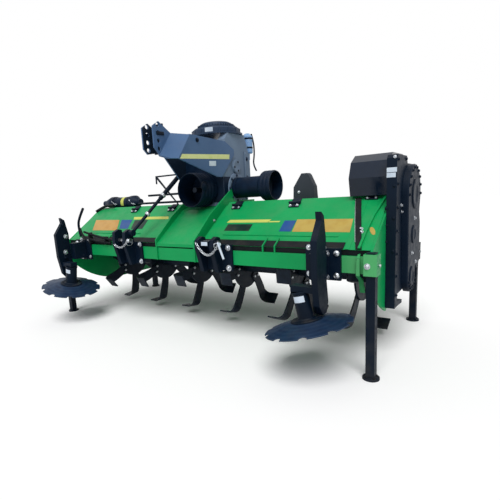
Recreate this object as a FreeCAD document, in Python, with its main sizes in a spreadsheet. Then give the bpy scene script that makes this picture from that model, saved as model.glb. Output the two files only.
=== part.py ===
import FreeCAD, Part
import math
import os
import re
import Sketcher

# A mounted rotary tiller with side gear drive, parked on its four stands.
# Y runs backwards, away from the tractor, and Z runs up. Left and right are as someone sees
# them who stands where the tractor would be and looks at the machine, and X runs to the
# right. Heights are measured from the ground, depths from the front face of the main beam,
# and widths from the centre plane. Each finished piece is then moved so that the origin lies
# at the middle of the splined end of the power take-off input shaft.

DIMENSIONS = {
    # main beam and end plates
    "frame_half": 1512, "end_wall": 12, "beam_size": 100, "beam_wall": 8, "beam_bottom": 606,
    "skirt_low": 250, "skirt_flat": 600, "skirt_radius": 779, "skirt_front": 532,
    "end_front_rise": 29, "end_ridge_y": 400, "end_back_y": 690,
    "end_drop_y": 1036, "end_drop_z": 806, "end_rear": 1070, "end_rear_top": 640,
    "drive_skirt_y": 300, "drive_skirt_z": 311, "drive_skirt_low": 420, "drive_skirt_rear": 480,
    "seat_gap": 0.3,
    # hood over the rotor and the covers on its front
    "hood_wall": 6, "hood_foot": 640, "hood_rise": 65, "hood_top": 1010,
    "hood_front_y": 427, "hood_back_y": 690, "hood_tail_y": 980, "hood_tail_z": 806,
    "cover_wall": 5, "cover_foot_y": 15, "cover_foot_rise": 34, "cover_lip": 18,
    "cover_ridge_y": 420, "cover_rise": 26, "cover_shelf": 35,
    "cover_inner": 252, "seam_inset": 160, "seam_width": 18, "edge_strip": 16,
    "leg_first": 795, "leg_pitch": 90, "leg_wall": 9, "leg_front": 3, "leg_reach": 60,
    "leg_height": 10,
    # centre frame between the covers
    "centre_wall": 12, "centre_front": 12, "centre_knee": 64, "centre_mid_y": 200,
    "centre_mid_z": 950, "centre_peak_y": 512, "centre_peak_z": 1145, "centre_back_y": 545,
    "centre_deck": 5, "centre_end": 860, "apron_wall": 6, "apron_foot_rise": 10,
    "apron_top_y": 330, "apron_top_z": 985, "apron_gap": 1.2, "apron_step": 8,
    # gearbox
    "gearbox_front": 420, "gearbox_rear": 830, "gearbox_half": 199.7, "gearbox_low": 1040,
    "gearbox_top": 1498, "gearbox_cut": 60, "horn_wall": 72, "horn_rise": 102,
    "horn_front": 465, "horn_rear": 752, "horn_slope": 45, "horn_cheek": 52, "boss_y": 606, "boss_z": 1331, "boss_radius": 58,
    "boss_reach": 14,
    # cooling dome on the gearbox
    "dome_y": 622, "dome_flange": 228, "dome_flange_wall": 14, "dome_radius": 152,
    "dome_side": 66, "dome_cap": 138, "dome_crown": 22, "dome_step": 20,
    # oil canister behind the gearbox
    "canister_x": 152, "canister_radius": 45, "canister_drop": 43, "canister_height": 175,
    "canister_gap": 6, "canister_edge": 8, "canister_crown": 25, "canister_arm": 20,
    # headstock for the top link, bent along two leaning folds
    "nose_half": 50, "nose_front": 185, "nose_corner": 35, "nose_low": 1420, "link_hole_rim": 24,
    "head_lean": 38, "head_wall": 12, "head_level": 1500, "head_tail": 700,
    "fold_front_left": -28, "fold_rear_left": 34, "fold_front_right": -44,
    "fold_rear_right": 5, "head_waist_y_left": 138, "head_waist_z_left": 1464,
    "head_waist_y_right": -126, "head_waist_z_right": 1374,
    "head_tip_y": 336, "head_tip_z": 1242, "head_toe": 59, "head_rear": 574,
    "head_rear_low": 1422, "head_rear_top": 1466, "head_back_y": 453, "head_back_z": 1525,
    "head_ridge_y": 23, "head_ridge_z": 1545, "nose_ridge": 128,
    "link_hole": 16, "link_hole_y": 138, "link_hole_foot": 29, "link_hole_pitch": 55,
    "link_holes": 4,
    # power take-off input and side output
    "pto_z": 1150, "pto_y": 330, "stub_radius": 22.2, "stub_half": 50, "stub_collar": 38,
    "stub_edge": 3, "pto_guard_radius": 140, "pto_guard_front": 222, "guard_wall": 5,
    "guard_rib": 4, "guard_hole": 56, "side_y": 600, "side_guard_radius": 85,
    "side_mouth_radius": 120, "side_mouth_start": 490, "side_guard_end": 588,
    "side_stub_end": 330, "side_shoulder": 25, "mouth_flare": 32,
    "side_input_inset": 202, "clutch_inset": 102, "clutch_width": 60, "clutch_radius": 88,
    "clutch_guard_inset": 250, "clutch_guard_low": 1037, "clutch_guard_top": 1298,
    "clutch_guard_front": 342, "clutch_guard_rear": 850, "clutch_guard_wall": 4,
    "clutch_guard_chin": 28, "clutch_guard_brow": 43, "clutch_guard_brow_drop": 48,
    "clutch_guard_crown": 128, "clutch_guard_slope": 110, "clutch_guard_slope_drop": 98,
    # side gear case
    "case_wall": 58, "case_front": 275, "case_low": 338, "case_heel": 61, "case_sole": 419,
    "case_foot": 195, "case_foot_wall": 36, "case_foot_tail": 14,
    "case_toe_y": 593, "case_toe_z": 455, "case_toe": 60, "case_back": 875,
    "case_back_low": 560, "case_top": 1270, "case_top_y": 530, "case_shoulder": 1225,
    "case_mid": 990, "case_corner": 20, "lid_wall": 50, "lid_low_radius": 105,
    "lid_top_radius": 190, "lid_top_z": 1030, "lid_bevel": 14,
    "rear_guard_wall": 46, "rear_guard_low": 460, "rear_guard_mid": 500,
    "rear_guard_high": 806, "rear_guard_top": 972, "rear_guard_slope": 78,
    # lower hitch
    "hitch_left": 548, "hitch_right": 390, "hitch_gap": 100, "lug_wall": 34,
    "lug_top_left": 860, "lug_top_right": 812, "lug_low": 556, "lug_reach": 118,
    "lug_nose": 25, "lug_back": 30, "lug_brow": 22, "lug_waist": 66, "hitch_pin_y": 66,
    "hitch_pin_z": 766, "hitch_pin": 18.3, "hitch_pin_over": 18, "pin_step": 0.4,
    "hitch_plate": 16, "hitch_plate_over": 86, "hitch_plate_up": 44,
    # notched discs on their arms
    "disc_inset": 307, "disc_y": 205, "disc_z": 360, "disc_radius": 257, "disc_wall": 6,
    "disc_dish": 36, "disc_flat": 104, "disc_notch": 24, "disc_notches": 10, "disc_tilt": 13,
    "hub_radius": 48, "hub_height": 158, "spindle": 20, "spindle_clearance": 0.08,
    "carrier_gap": 8, "carrier_half": 32, "carrier_wall": 36, "carrier_reach": 84,
    "arm_inset": 250, "arm_wall": 36, "arm_top": 976, "arm_low": 396, "arm_front": 264,
    "arm_rear": 135, "arm_shoulder": 151, "arm_crown": 70, "arm_crown_drop": 24,
    "arm_knee": 220, "arm_toe": 60, "arm_toe_cut": 26,
    "clamp_over": 26, "clamp_width": 70, "clamp_ear": 46, "clamp_reach": 103,
    "clamp_plate": 20,
    # rotor
    "rotor_y": 550, "rotor_z": 495, "rotor_reach": 445, "rotor_tube": 60, "tube_gap": 60,
    "rotor_stub": 42, "flange_radius": 200, "flange_wall": 14, "flange_pitch": 500,
    "flanges": 6, "flange_shift": 50, "blade_wall": 10, "blade_width": 84, "blade_root": 120, "blade_bend": 55,
    "blade_side": 135, "blade_sweep": 100, "blade_drop": 18, "blade_nose": 40,
    "blades_per_side": 3, "blade_start": 67, "blade_step": 112, "bearing_radius": 110, "bearing_wall": 42,
    # rear board
    "board_gap": 35, "board_wall": 6, "hinge_y": 1008, "hinge_z": 786, "hinge_tube": 14,
    "hinge_pin": 8, "hinge_clearance": 0.08, "hinge_boss": 24, "hinge_play": 5,
    "board_low_y": 1098, "board_low_z": 392, "board_toe": 30, "board_root": 12,
    # parking stands
    "stand_out": 8, "stand_front_y": -37, "stand_rear_y": 1128, "leg_size": 50,
    "leg_fit": 0.5, "socket_size": 73, "socket_low": 611, "socket_top": 731,
    "rear_socket_low": 505, "rear_socket_top": 640, "foot_radius": 48, "foot_wall": 12,
    "front_leg_top": 738, "rear_leg_top": 660,
    # posts behind the hood and the brace to the headstock
    "post_x": 842, "post_y": 600, "post_half": 90, "post_top": 1222, "post_wall": 60,
    "post_shoulder": 100, "post_drop": 40,
    "rack_y": 600, "rack_wall": 8, "rack_bar": 14, "rack_end": 785, "rack_top": 1325,
    "rack_drop": 80, "rack_foot": 470,
    # loose drive shaft for the tractor, in its guard
    "spare_over": 36, "spare_length": 593, "spare_radius": 69, "spare_tube": 60,
    "spare_yoke": 32, "spare_yoke_length": 30, "spare_cone": 110, "spare_short_cone": 44,
    "spare_collar": 60,
    "brace_rod": 14, "brace_sleeve": 19, "brace_share": 0.45, "brace_eye": 26,
    "brace_eye_wall": 44, "brace_foot_y": -52, "brace_foot_z": 828, "brace_head_y": 402,
    "brace_head_z": 1318,
}

# places that follow from the sizes above
DERIVED = {
    "inner_half": "frame_half - end_wall",
    "beam_top": "beam_bottom + beam_size",
    "hood_break_z": "beam_top + hood_rise",
    "cover_foot_z": "beam_top + cover_foot_rise",
    "cover_ridge_z": "hood_top + cover_rise",
    "cover_outer": "frame_half - seam_inset",
    "hood_tail_slope": "(hood_top - hood_tail_z) / (hood_tail_y - hood_back_y)",
    "body_half": "gearbox_half + seat_gap",
    "base_top": "gearbox_low - seat_gap",
    "horn_top": "gearbox_top + horn_rise",
    "canister_low": "gearbox_top - canister_drop",
    "canister_top": "canister_low + canister_height",
    "link_hole_low": "nose_low + link_hole_foot",
    "nose_top": "link_hole_low + (link_holes - 1) * link_hole_pitch + link_hole_rim",
    "spare_outer": "frame_half + spare_over",
    "spare_inner": "spare_outer - spare_length",
    "dome_foot": "horn_top + seat_gap",
    "dome_flange_top": "dome_foot + dome_flange_wall",
    "dome_shoulder": "dome_flange_top + dome_side",
    "dome_top": "dome_shoulder + dome_step / 2 + dome_crown",
    "clutch_guard_start": "frame_half - clutch_guard_inset",
    "clutch_start": "frame_half - clutch_inset",
    "case_heel_y": "case_front + case_heel",
    "lid_start": "frame_half + case_wall",
    "disc_x": "frame_half - disc_inset",
    "arm_inner": "frame_half - arm_inset",
    "board_half": "frame_half - end_wall - board_gap",
    "tube_half": "frame_half - end_wall - tube_gap",
    "stand_x": "frame_half + stand_out",
    "rear_guard_end": "stand_rear_y - socket_size / 2 - seat_gap",
}

doc = FreeCAD.newDocument("rotary_tiller")
sheet = doc.addObject("Spreadsheet::Sheet", "dims")
for row, (alias, number) in enumerate(DIMENSIONS.items(), 1):
    sheet.set("A%d" % row, alias)
    sheet.set("B%d" % row, str(number))
    sheet.setAlias("B%d" % row, alias)
doc.recompute()

exported = []


def link(text):
    """Turn the plain names in a formula into references to the sheet."""
    def refer(word):
        name = word.group()
        if name in DERIVED:
            return "(%s)" % link(DERIVED[name])
        return "dims." + name if name in DIMENSIONS else name
    return re.sub(r"[a-z_]\w*", refer, str(text))


def size(text):
    """The present value of a formula, in millimetres or degrees."""
    return float(sheet_reader.evalExpression(link(text)))


sheet_reader = doc.addObject("App::FeaturePython", "sheet_reader")


def bind(thing, name, text):
    thing.setExpression(name, link(text))


def new_body(label):
    """An empty body, placed so that the power take-off shaft is at the origin."""
    body = doc.addObject("PartDesign::Body", label)
    body.Label = label
    bind(body, "Placement.Base.y", "-pto_y")
    bind(body, "Placement.Base.z", "-pto_z")
    exported.append(body)
    return body


PLANES = {"X": "YZ_Plane", "Y": "XZ_Plane", "Z": "XY_Plane"}


def new_sketch(body, normal, offset="0", across="0", up="0"):
    """A sketch whose plane is square to one axis, at a distance along its own normal."""
    sketch = body.newObject("Sketcher::SketchObject", body.Label + "_sketch")
    plane = [item for item in body.Origin.OriginFeatures if item.Role == PLANES[normal]][0]
    sketch.AttachmentSupport = [(plane, "")]
    sketch.MapMode = "FlatFace"
    bind(sketch, "AttachmentOffset.Base.x", across)
    bind(sketch, "AttachmentOffset.Base.y", up)
    bind(sketch, "AttachmentOffset.Base.z", offset)
    return sketch


def flat_vector(point):
    return FreeCAD.Vector(point[0], point[1], 0)


def fix_point(sketch, edge, end, corner):
    """Tie one end of an edge to the two formulas of a corner."""
    for kind, text in zip(("DistanceX", "DistanceY"), corner):
        rule = Sketcher.Constraint(kind, -1, 1, edge, end, size(text))
        number = sketch.addConstraint(rule)
        bind(sketch, "Constraints[%d]" % number, text)


def draw_outline(sketch, corners):
    """A closed outline. A corner is (u, v), or (u, v, radius, turn) where an arc starts:
    turn is 1 for an arc that runs anticlockwise and -1 for one that runs clockwise."""
    first = sketch.GeometryCount
    count = len(corners)
    spots = [(size(corner[0]), size(corner[1])) for corner in corners]
    for index, corner in enumerate(corners):
        start, end = spots[index], spots[(index + 1) % count]
        if len(corner) == 2:
            sketch.addGeometry(Part.LineSegment(flat_vector(start), flat_vector(end)), False)
            continue
        radius, turn = size(corner[2]), corner[3]
        chord = flat_vector(end) - flat_vector(start)
        side = FreeCAD.Vector(-chord.y, chord.x, 0).normalize() * turn
        sagitta = radius - math.sqrt(radius ** 2 - (chord.Length / 2) ** 2)
        middle = flat_vector(start) + chord / 2 - side * sagitta
        sketch.addGeometry(Part.Arc(flat_vector(start), middle, flat_vector(end)), False)
    for index, corner in enumerate(corners):
        following = (index + 1) % count
        # an anticlockwise arc keeps its own start first; a clockwise one is stored reversed
        end = 1 if len(corner) == 4 and corner[3] < 0 else 2
        start = 2 if len(corners[following]) == 4 and corners[following][3] < 0 else 1
        rule = Sketcher.Constraint("Coincident", first + index, end, first + following, start)
        sketch.addConstraint(rule)
    for index, corner in enumerate(corners):
        start = 2 if len(corner) == 4 and corner[3] < 0 else 1
        fix_point(sketch, first + index, start, corner[:2])
        if len(corner) == 4:
            rule = Sketcher.Constraint("Radius", first + index, size(corner[2]))
            number = sketch.addConstraint(rule)
            bind(sketch, "Constraints[%d]" % number, corner[2])


def draw_circle(sketch, across, up, radius):
    centre = FreeCAD.Vector(size(across), size(up), 0)
    circle = Part.Circle(centre, FreeCAD.Vector(0, 0, 1), size(radius))
    edge = sketch.addGeometry(circle, False)
    fix_point(sketch, edge, 3, (across, up))
    number = sketch.addConstraint(Sketcher.Constraint("Radius", edge, size(radius)))
    bind(sketch, "Constraints[%d]" % number, radius)


def draw_bent_sheet(sketch, path, wall, side):
    """The section of a bent sheet: one face follows the path, and the other lies the wall's
    thickness away, to the left of the path for side 1 and to its right for side -1."""
    spots = [flat_vector((size(u), size(v))) for u, v in path]
    runs = [(b - a).normalize() for a, b in zip(spots, spots[1:])]
    lefts = [FreeCAD.Vector(-run.y, run.x, 0) * side * size(wall) for run in runs]
    inner = [spots[0] + lefts[0]]
    for index in range(1, len(spots) - 1):
        before, after = lefts[index - 1], lefts[index]
        middle = before + after
        inner.append(spots[index] + middle * (2 * size(wall) ** 2 / middle.dot(middle)))
    inner.append(spots[-1] + lefts[-1])
    loop = spots + inner[::-1]
    count = len(loop)
    for index in range(count):
        line = Part.LineSegment(loop[index], loop[(index + 1) % count])
        sketch.addGeometry(line, False)
    for index in range(count):
        rule = Sketcher.Constraint("Coincident", index, 2, (index + 1) % count, 1)
        sketch.addConstraint(rule)
    for index, corner in enumerate(path):
        fix_point(sketch, index, 1, corner)
    last = len(path) - 1
    sketch.addConstraint(Sketcher.Constraint("Perpendicular", last, last - 1))
    sketch.addConstraint(Sketcher.Constraint("Perpendicular", count - 1, 0))
    for index in range(last):
        facing = count - 2 - index
        sketch.addConstraint(Sketcher.Constraint("Parallel", facing, index))
        rule = Sketcher.Constraint("Distance", facing, 1, index, size(wall))
        number = sketch.addConstraint(rule)
        bind(sketch, "Constraints[%d]" % number, wall)


def offset_for(normal, start, length, removing):
    """Where a sketch goes so that its pad or pocket fills start to start plus length."""
    if normal == "Y":
        return "-(%s)" % start if removing else "-((%s) + (%s))" % (start, length)
    return "(%s) + (%s)" % (start, length) if removing else start


def extrude(body, normal, start, length, draw, removing=False):
    sketch = new_sketch(body, normal, offset_for(normal, start, length, removing))
    draw(sketch)
    kind = "PartDesign::Pocket" if removing else "PartDesign::Pad"
    feature = body.newObject(kind, body.Label + ("_cut" if removing else "_pad"))
    feature.Profile = sketch
    bind(feature, "Length", length)
    body.Tip = feature
    return feature


def prism(body, normal, start, length, corners, removing=False):
    return extrude(body, normal, start, length, lambda s: draw_outline(s, corners), removing)


def box(body, low, high, removing=False):
    """A block from its lowest to its highest corner, drawn on its floor."""
    corners = [(low[0], low[1]), (high[0], low[1]), (high[0], high[1]), (low[0], high[1])]
    length = "(%s) - (%s)" % (high[2], low[2])
    return prism(body, "Z", low[2], length, corners, removing)


def rod(body, normal, across, up, radius, start, length, removing=False):
    draw = lambda s: draw_circle(s, across, up, radius)
    return extrude(body, normal, start, length, draw, removing)


def bent_sheet(body, start, length, path, wall, side):
    return extrude(body, "X", start, length, lambda s: draw_bent_sheet(s, path, wall, side))


def turn_up(body, axis, first, second, corners, removing=False):
    """A solid of revolution. The profile is drawn as (distance along the axis, radius), and
    first and second are the axis's place in the two other directions."""
    if axis == "X":
        sketch = new_sketch(body, "Y", "-(%s)" % first, "0", second)
        reference, profile = "H_Axis", corners
    elif axis == "Y":
        sketch = new_sketch(body, "X", first, "0", second)
        reference, profile = "H_Axis", corners
    else:
        sketch = new_sketch(body, "X", first, second, "0")
        reference, profile = "V_Axis", [(corner[1], corner[0]) for corner in corners]
    draw_outline(sketch, profile)
    kind = "PartDesign::Groove" if removing else "PartDesign::Revolution"
    feature = body.newObject(kind, body.Label + "_turned")
    feature.Profile = sketch
    feature.ReferenceAxis = (sketch, [reference])
    feature.Angle = 360
    body.Tip = feature
    return feature


def both_sides(make):
    """Make a piece for the left (-1) and the right (1) end of the machine."""
    for name, side in (("left", -1), ("right", 1)):
        make(name, side)


def span(side, inner, outer):
    """Start and length of a stretch between two distances from the centre plane."""
    length = "(%s) - (%s)" % (outer, inner)
    return (inner if side > 0 else "-(%s)" % outer), length


def mirrored(side, text):
    return text if side > 0 else "-(%s)" % text


def make_beam():
    beam = new_body("front_beam")
    square = [("0", "beam_bottom"), ("beam_size", "beam_bottom"), ("beam_size", "beam_top"),
              ("0", "beam_top")]
    prism(beam, "X", "-inner_half", "2 * inner_half", square)
    low, high = "beam_bottom + beam_wall", "beam_top - beam_wall"
    hollow = [("beam_wall", low), ("beam_size - beam_wall", low),
              ("beam_size - beam_wall", high), ("beam_wall", high)]
    prism(beam, "X", "-inner_half", "2 * inner_half", hollow, removing=True)


def make_end_plate(name, side):
    plate = new_body("end_plate_" + name)
    top = [("0", "beam_top + end_front_rise"), ("end_ridge_y", "hood_top"),
           ("end_back_y", "hood_top"), ("end_drop_y", "end_drop_z"),
           ("end_rear", "end_rear_top")]
    if side < 0:
        low = [("skirt_flat", "skirt_low", "skirt_radius", -1), ("0", "skirt_front")]
        rear = [("end_rear", "skirt_low")]
    else:
        low = [("drive_skirt_y", "drive_skirt_z", "skirt_radius", -1), ("0", "skirt_front")]
        rear = [("end_rear", "drive_skirt_rear"), ("case_toe_y", "drive_skirt_low")]
    start, length = span(side, "inner_half", "frame_half")
    prism(plate, "X", start, length, low + top + rear)


def make_hood():
    hood = new_body("rotor_hood")
    path = [("beam_size + seat_gap", "hood_foot"), ("beam_size + seat_gap", "hood_break_z"),
            ("hood_front_y", "hood_top"), ("hood_back_y", "hood_top"),
            ("hood_tail_y", "hood_tail_z")]
    bent_sheet(hood, "-inner_half", "2 * inner_half", path, "hood_wall", -1)


def make_covers():
    shelf_end = "cover_ridge_y + cover_shelf"
    path = [("cover_foot_y + cover_lip", "cover_foot_z"), ("cover_foot_y", "cover_foot_z"),
            ("cover_ridge_y", "cover_ridge_z"), (shelf_end, "cover_ridge_z"),
            (shelf_end, "hood_top + seat_gap")]
    end = "inner_half - seat_gap"
    stretches = {"cover_left": (-1, "cover_inner", end),
                 "cover_right": (1, "cover_inner", "cover_outer"),
                 "cover_drive_end": (1, "cover_outer + seam_width", end)}
    for label, (side, inner, outer) in stretches.items():
        cover = new_body(label)
        start, length = span(side, inner, outer)
        bent_sheet(cover, start, length, path, "cover_wall", -1)

    strips = new_body("cover_edge_strips")
    for side in (-1, 1):
        start, length = span(side, "cover_inner", end)
        low, high = "cover_foot_y + cover_wall", "cover_foot_y + cover_wall + edge_strip"
        corners = [(low, "beam_top"), (high, "beam_top"), (high, "cover_foot_z - seat_gap"),
                   (low, "cover_foot_z - seat_gap")]
        prism(strips, "X", start, length, corners)


def make_cover_legs():
    """Short legs at the foot of each front cover: they stand on the beam and bend back to lie
    on the cover's slope."""
    legs = new_body("cover_legs")
    rise = "(cover_ridge_z - cover_foot_z) / (cover_ridge_y - cover_foot_y)"
    heel, toe = "cover_foot_y - seat_gap", "cover_foot_y + leg_reach"
    lie = "cover_foot_z + 3 * seat_gap"
    outline = [("leg_front", "beam_top"), (heel, "beam_top"), (heel, lie),
               (toe, lie + " + leg_reach * " + rise),
               (toe, lie + " + leg_reach * " + rise + " + leg_height"),
               ("leg_front", "cover_foot_z + leg_height")]
    for side in (-1, 1):
        for place in ("leg_first", "leg_first + leg_pitch"):
            start, length = span(side, place, place + " + leg_wall")
            prism(legs, "X", start, length, outline)


def make_centre_frame():
    deck = "gearbox_low + centre_deck"
    outline = [("-centre_front", "beam_bottom"), ("-seat_gap", "beam_bottom"),
               ("-seat_gap", "beam_top + seat_gap"), ("beam_size", "beam_top + seat_gap"),
               ("beam_size", "hood_break_z + seat_gap"),
               ("hood_front_y", "hood_top + seat_gap"), ("hood_back_y", "hood_top + seat_gap"),
               ("centre_end", "hood_top + seat_gap - (centre_end - hood_back_y) *"
                " hood_tail_slope"),
               ("centre_end", deck), ("centre_back_y", deck),
               ("centre_peak_y", "centre_peak_z"), ("centre_mid_y", "centre_mid_z"),
               ("-centre_front", "beam_top + centre_knee")]

    def make_plate(name, side):
        plate = new_body("centre_plate_" + name)
        start, length = span(side, "body_half", "body_half + centre_wall")
        prism(plate, "X", start, length, outline)
    both_sides(make_plate)

    apron = new_body("centre_apron")
    inner = "(body_half - seat_gap)"
    front = "-(apron_wall + seat_gap)"
    path = [(front, "beam_top + apron_foot_rise"), (front, "cover_foot_z"),
            ("apron_top_y", "apron_top_z"),
            ("gearbox_front - apron_step", "pto_z - pto_guard_radius - apron_gap")]
    bent_sheet(apron, "-" + inner, "2 * " + inner, path, "apron_wall", -1)

    base = new_body("gearbox_base")
    box(base, ("-" + inner, "gearbox_front", "hood_top + seat_gap"),
        (inner, "hood_back_y", "base_top"))


def make_gearbox():
    gearbox = new_body("gearbox")
    outline = [("gearbox_front", "gearbox_low"), ("gearbox_rear - gearbox_cut", "gearbox_low"),
               ("gearbox_rear", "gearbox_low + 3 * gearbox_cut"),
               ("gearbox_rear", "gearbox_top - gearbox_cut"),
               ("gearbox_rear - gearbox_cut", "gearbox_top"),
               ("gearbox_front + gearbox_cut", "gearbox_top"),
               ("gearbox_front", "gearbox_top - gearbox_cut")]
    prism(gearbox, "X", "-gearbox_half", "2 * gearbox_half", outline)
    horn = [("horn_front", "gearbox_top - gearbox_cut"),
            ("horn_rear + horn_slope", "gearbox_top - gearbox_cut"),
            ("horn_rear + horn_slope", "gearbox_top"), ("horn_rear", "horn_top"),
            ("horn_front + horn_slope", "horn_top"), ("horn_front", "horn_top - horn_cheek")]
    for start in ("-gearbox_half", "gearbox_half - horn_wall"):
        prism(gearbox, "X", start, "horn_wall", horn)
    rod(gearbox, "X", "boss_y", "boss_z", "boss_radius", "gearbox_half", "boss_reach")


def make_dome():
    dome = new_body("cooling_dome")
    profile = [("dome_foot", "0"), ("dome_foot", "dome_flange"),
               ("dome_flange_top", "dome_flange"), ("dome_flange_top", "dome_radius"),
               ("dome_shoulder", "dome_radius"),
               ("dome_shoulder + dome_step / 2", "dome_radius - dome_step / 2"),
               ("dome_top - dome_step / 2", "dome_cap"), ("dome_top", "dome_cap - dome_step"),
               ("dome_top", "0")]
    turn_up(dome, "Z", "0", "dome_y", profile)


def make_canister():
    can = new_body("oil_canister")
    middle_y = "(gearbox_rear + canister_gap + canister_radius)"
    profile = [("canister_low", "0"), ("canister_low", "canister_radius - canister_edge"),
               ("canister_low + canister_edge", "canister_radius"),
               ("canister_top - canister_crown", "canister_radius"),
               ("canister_top", "canister_radius / 2"), ("canister_top", "0")]
    turn_up(can, "Z", "canister_x", middle_y, profile)
    box(can, ("canister_x - canister_arm", "gearbox_rear + seat_gap",
              "gearbox_top - gearbox_cut - 2 * canister_arm"),
        ("canister_x + canister_arm", middle_y, "canister_low + canister_edge"))


def make_headstock(name, side):
    """One cheek of the headstock. The right one has its fold further forward, and it hangs
    lower between the nose and the tip."""
    cheek = new_body("headstock_" + name)
    plan = [("nose_half", "-2 * nose_front"), ("nose_half", "fold_front_" + name),
            ("body_half", "fold_rear_" + name), ("body_half", "head_tail")]
    path = [(mirrored(side, across), along) for across, along in plan]
    section = new_sketch(cheek, "Z")
    lean = FreeCAD.Rotation(FreeCAD.Vector(1, 0, 0), -1)
    section.AttachmentOffset = FreeCAD.Placement(FreeCAD.Vector(0, 0, 0), lean)
    bind(section, "AttachmentOffset.Base.z", "head_level")
    section.setExpression("AttachmentOffset.Rotation.Angle", link("-head_lean") + " * 1 deg")
    draw_bent_sheet(section, path, "head_wall", -side)
    strip = cheek.newObject("PartDesign::Pad", cheek.Label + "_strip")
    strip.Profile = section
    strip.Midplane = True
    bind(strip, "Length", "2 * (nose_top - head_tip_z) + 2 * nose_front")
    cheek.Tip = strip
    far_low, far_high = "head_tip_z - 2 * head_rear", "nose_top + 2 * head_rear"
    frame = [("-2 * head_rear", far_low), ("3 * head_rear", far_low),
             ("3 * head_rear", far_high), ("-2 * head_rear", far_high)]
    profile = [("-nose_front", "nose_low + nose_corner"),
               ("-nose_front + nose_corner", "nose_low"),
               ("head_waist_y_" + name, "head_waist_z_" + name),
               ("head_tip_y", "head_tip_z"), ("head_tip_y + head_toe", "head_tip_z"),
               ("head_rear", "head_rear_low"), ("head_rear", "head_rear_top"),
               ("head_back_y", "head_back_z"), ("head_ridge_y", "head_ridge_z"),
               ("-nose_ridge", "nose_top"), ("-nose_front", "nose_top - nose_corner")]

    def draw_trim(sketch):
        draw_outline(sketch, frame)
        draw_outline(sketch, profile)
    reach = "(body_half + 2 * head_wall)"
    extrude(cheek, "X", "0" if side > 0 else "-" + reach, reach, draw_trim, removing=True)
    for step in range(DIMENSIONS["link_holes"]):
        height = "link_hole_low + %d * link_hole_pitch" % step
        start, length = span(side, "nose_half - 2 * head_wall", "nose_half + 3 * head_wall")
        rod(cheek, "X", "-link_hole_y", height, "link_hole", start, length, removing=True)


def ribbed(start, end, radius, count):
    """Outer profile of a tube with raised rings, from one end to the other."""
    points = []
    for index in range(count):
        for part, rise in ((0.15, "0"), (0.3, "guard_rib"), (0.7, "guard_rib"), (0.85, "0")):
            share = (index + part) / count
            points.append(("%s + (%s - (%s)) * %.4f" % (start, end, start, share),
                           "%s + %s" % (radius, rise)))
    return points


def make_guards():
    guard = new_body("pto_guard")
    back = "(gearbox_front - seat_gap)"
    radius = "pto_guard_radius - guard_rib"
    profile = [("pto_guard_front", radius + " - guard_wall"), ("pto_guard_front", radius)]
    profile += ribbed("pto_guard_front", back, radius, 5)
    profile += [(back, radius), (back, "guard_hole"), (back + " - guard_wall", "guard_hole"),
                (back + " - guard_wall", radius + " - guard_wall")]
    turn_up(guard, "Y", "0", "pto_z", profile)

    side_guard = new_body("side_guard")
    start = "(body_half)"
    radius = "side_guard_radius - guard_rib"
    flare = "(side_mouth_start - mouth_flare)"
    mouth = "side_mouth_radius - guard_rib"
    profile = [(start, radius + " - guard_wall"), (start, radius)]
    profile += ribbed(start, flare, radius, 6)
    profile += [(flare, radius), ("side_mouth_start", mouth)]
    profile += ribbed("side_mouth_start", "side_guard_end", mouth, 3)
    profile += [("side_guard_end", mouth), ("side_guard_end", mouth + " - guard_wall"),
                ("side_mouth_start", mouth + " - guard_wall"), (flare, radius + " - guard_wall")]
    turn_up(side_guard, "X", "side_y", "pto_z", profile)


def make_shafts():
    stub = new_body("pto_input_shaft")
    front, back = "(pto_y - stub_half)", "(gearbox_front - seat_gap)"
    profile = [(front, "0"), (front, "stub_radius - stub_edge"),
               (front + " + stub_edge", "stub_radius"), ("pto_y + stub_half", "stub_radius"),
               ("pto_y + stub_half", "stub_collar"), (back, "stub_collar"), (back, "0")]
    turn_up(stub, "Y", "0", "pto_z", profile)

    output = new_body("side_output_shaft")
    start, end = "(gearbox_half + seat_gap)", "side_stub_end"
    shoulder = start + " + side_shoulder"
    profile = [(start, "0"), (start, "stub_collar"), (shoulder, "stub_collar"),
               (shoulder, "stub_radius"), (end + " - stub_edge", "stub_radius"),
               (end, "stub_radius - stub_edge"), (end, "0")]
    turn_up(output, "X", "side_y", "pto_z", profile)

    driven = new_body("side_input_shaft")
    start, clutch_end = "(frame_half - side_input_inset)", "(clutch_start + clutch_width)"
    profile = [(start, "0"), (start, "stub_radius - stub_edge"),
               (start + " + stub_edge", "stub_radius"), ("clutch_start", "stub_radius"),
               ("clutch_start", "clutch_radius"), (clutch_end, "clutch_radius"),
               (clutch_end, "stub_collar"), ("frame_half", "stub_collar"), ("frame_half", "0")]
    turn_up(driven, "X", "side_y", "pto_z", profile)


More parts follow.
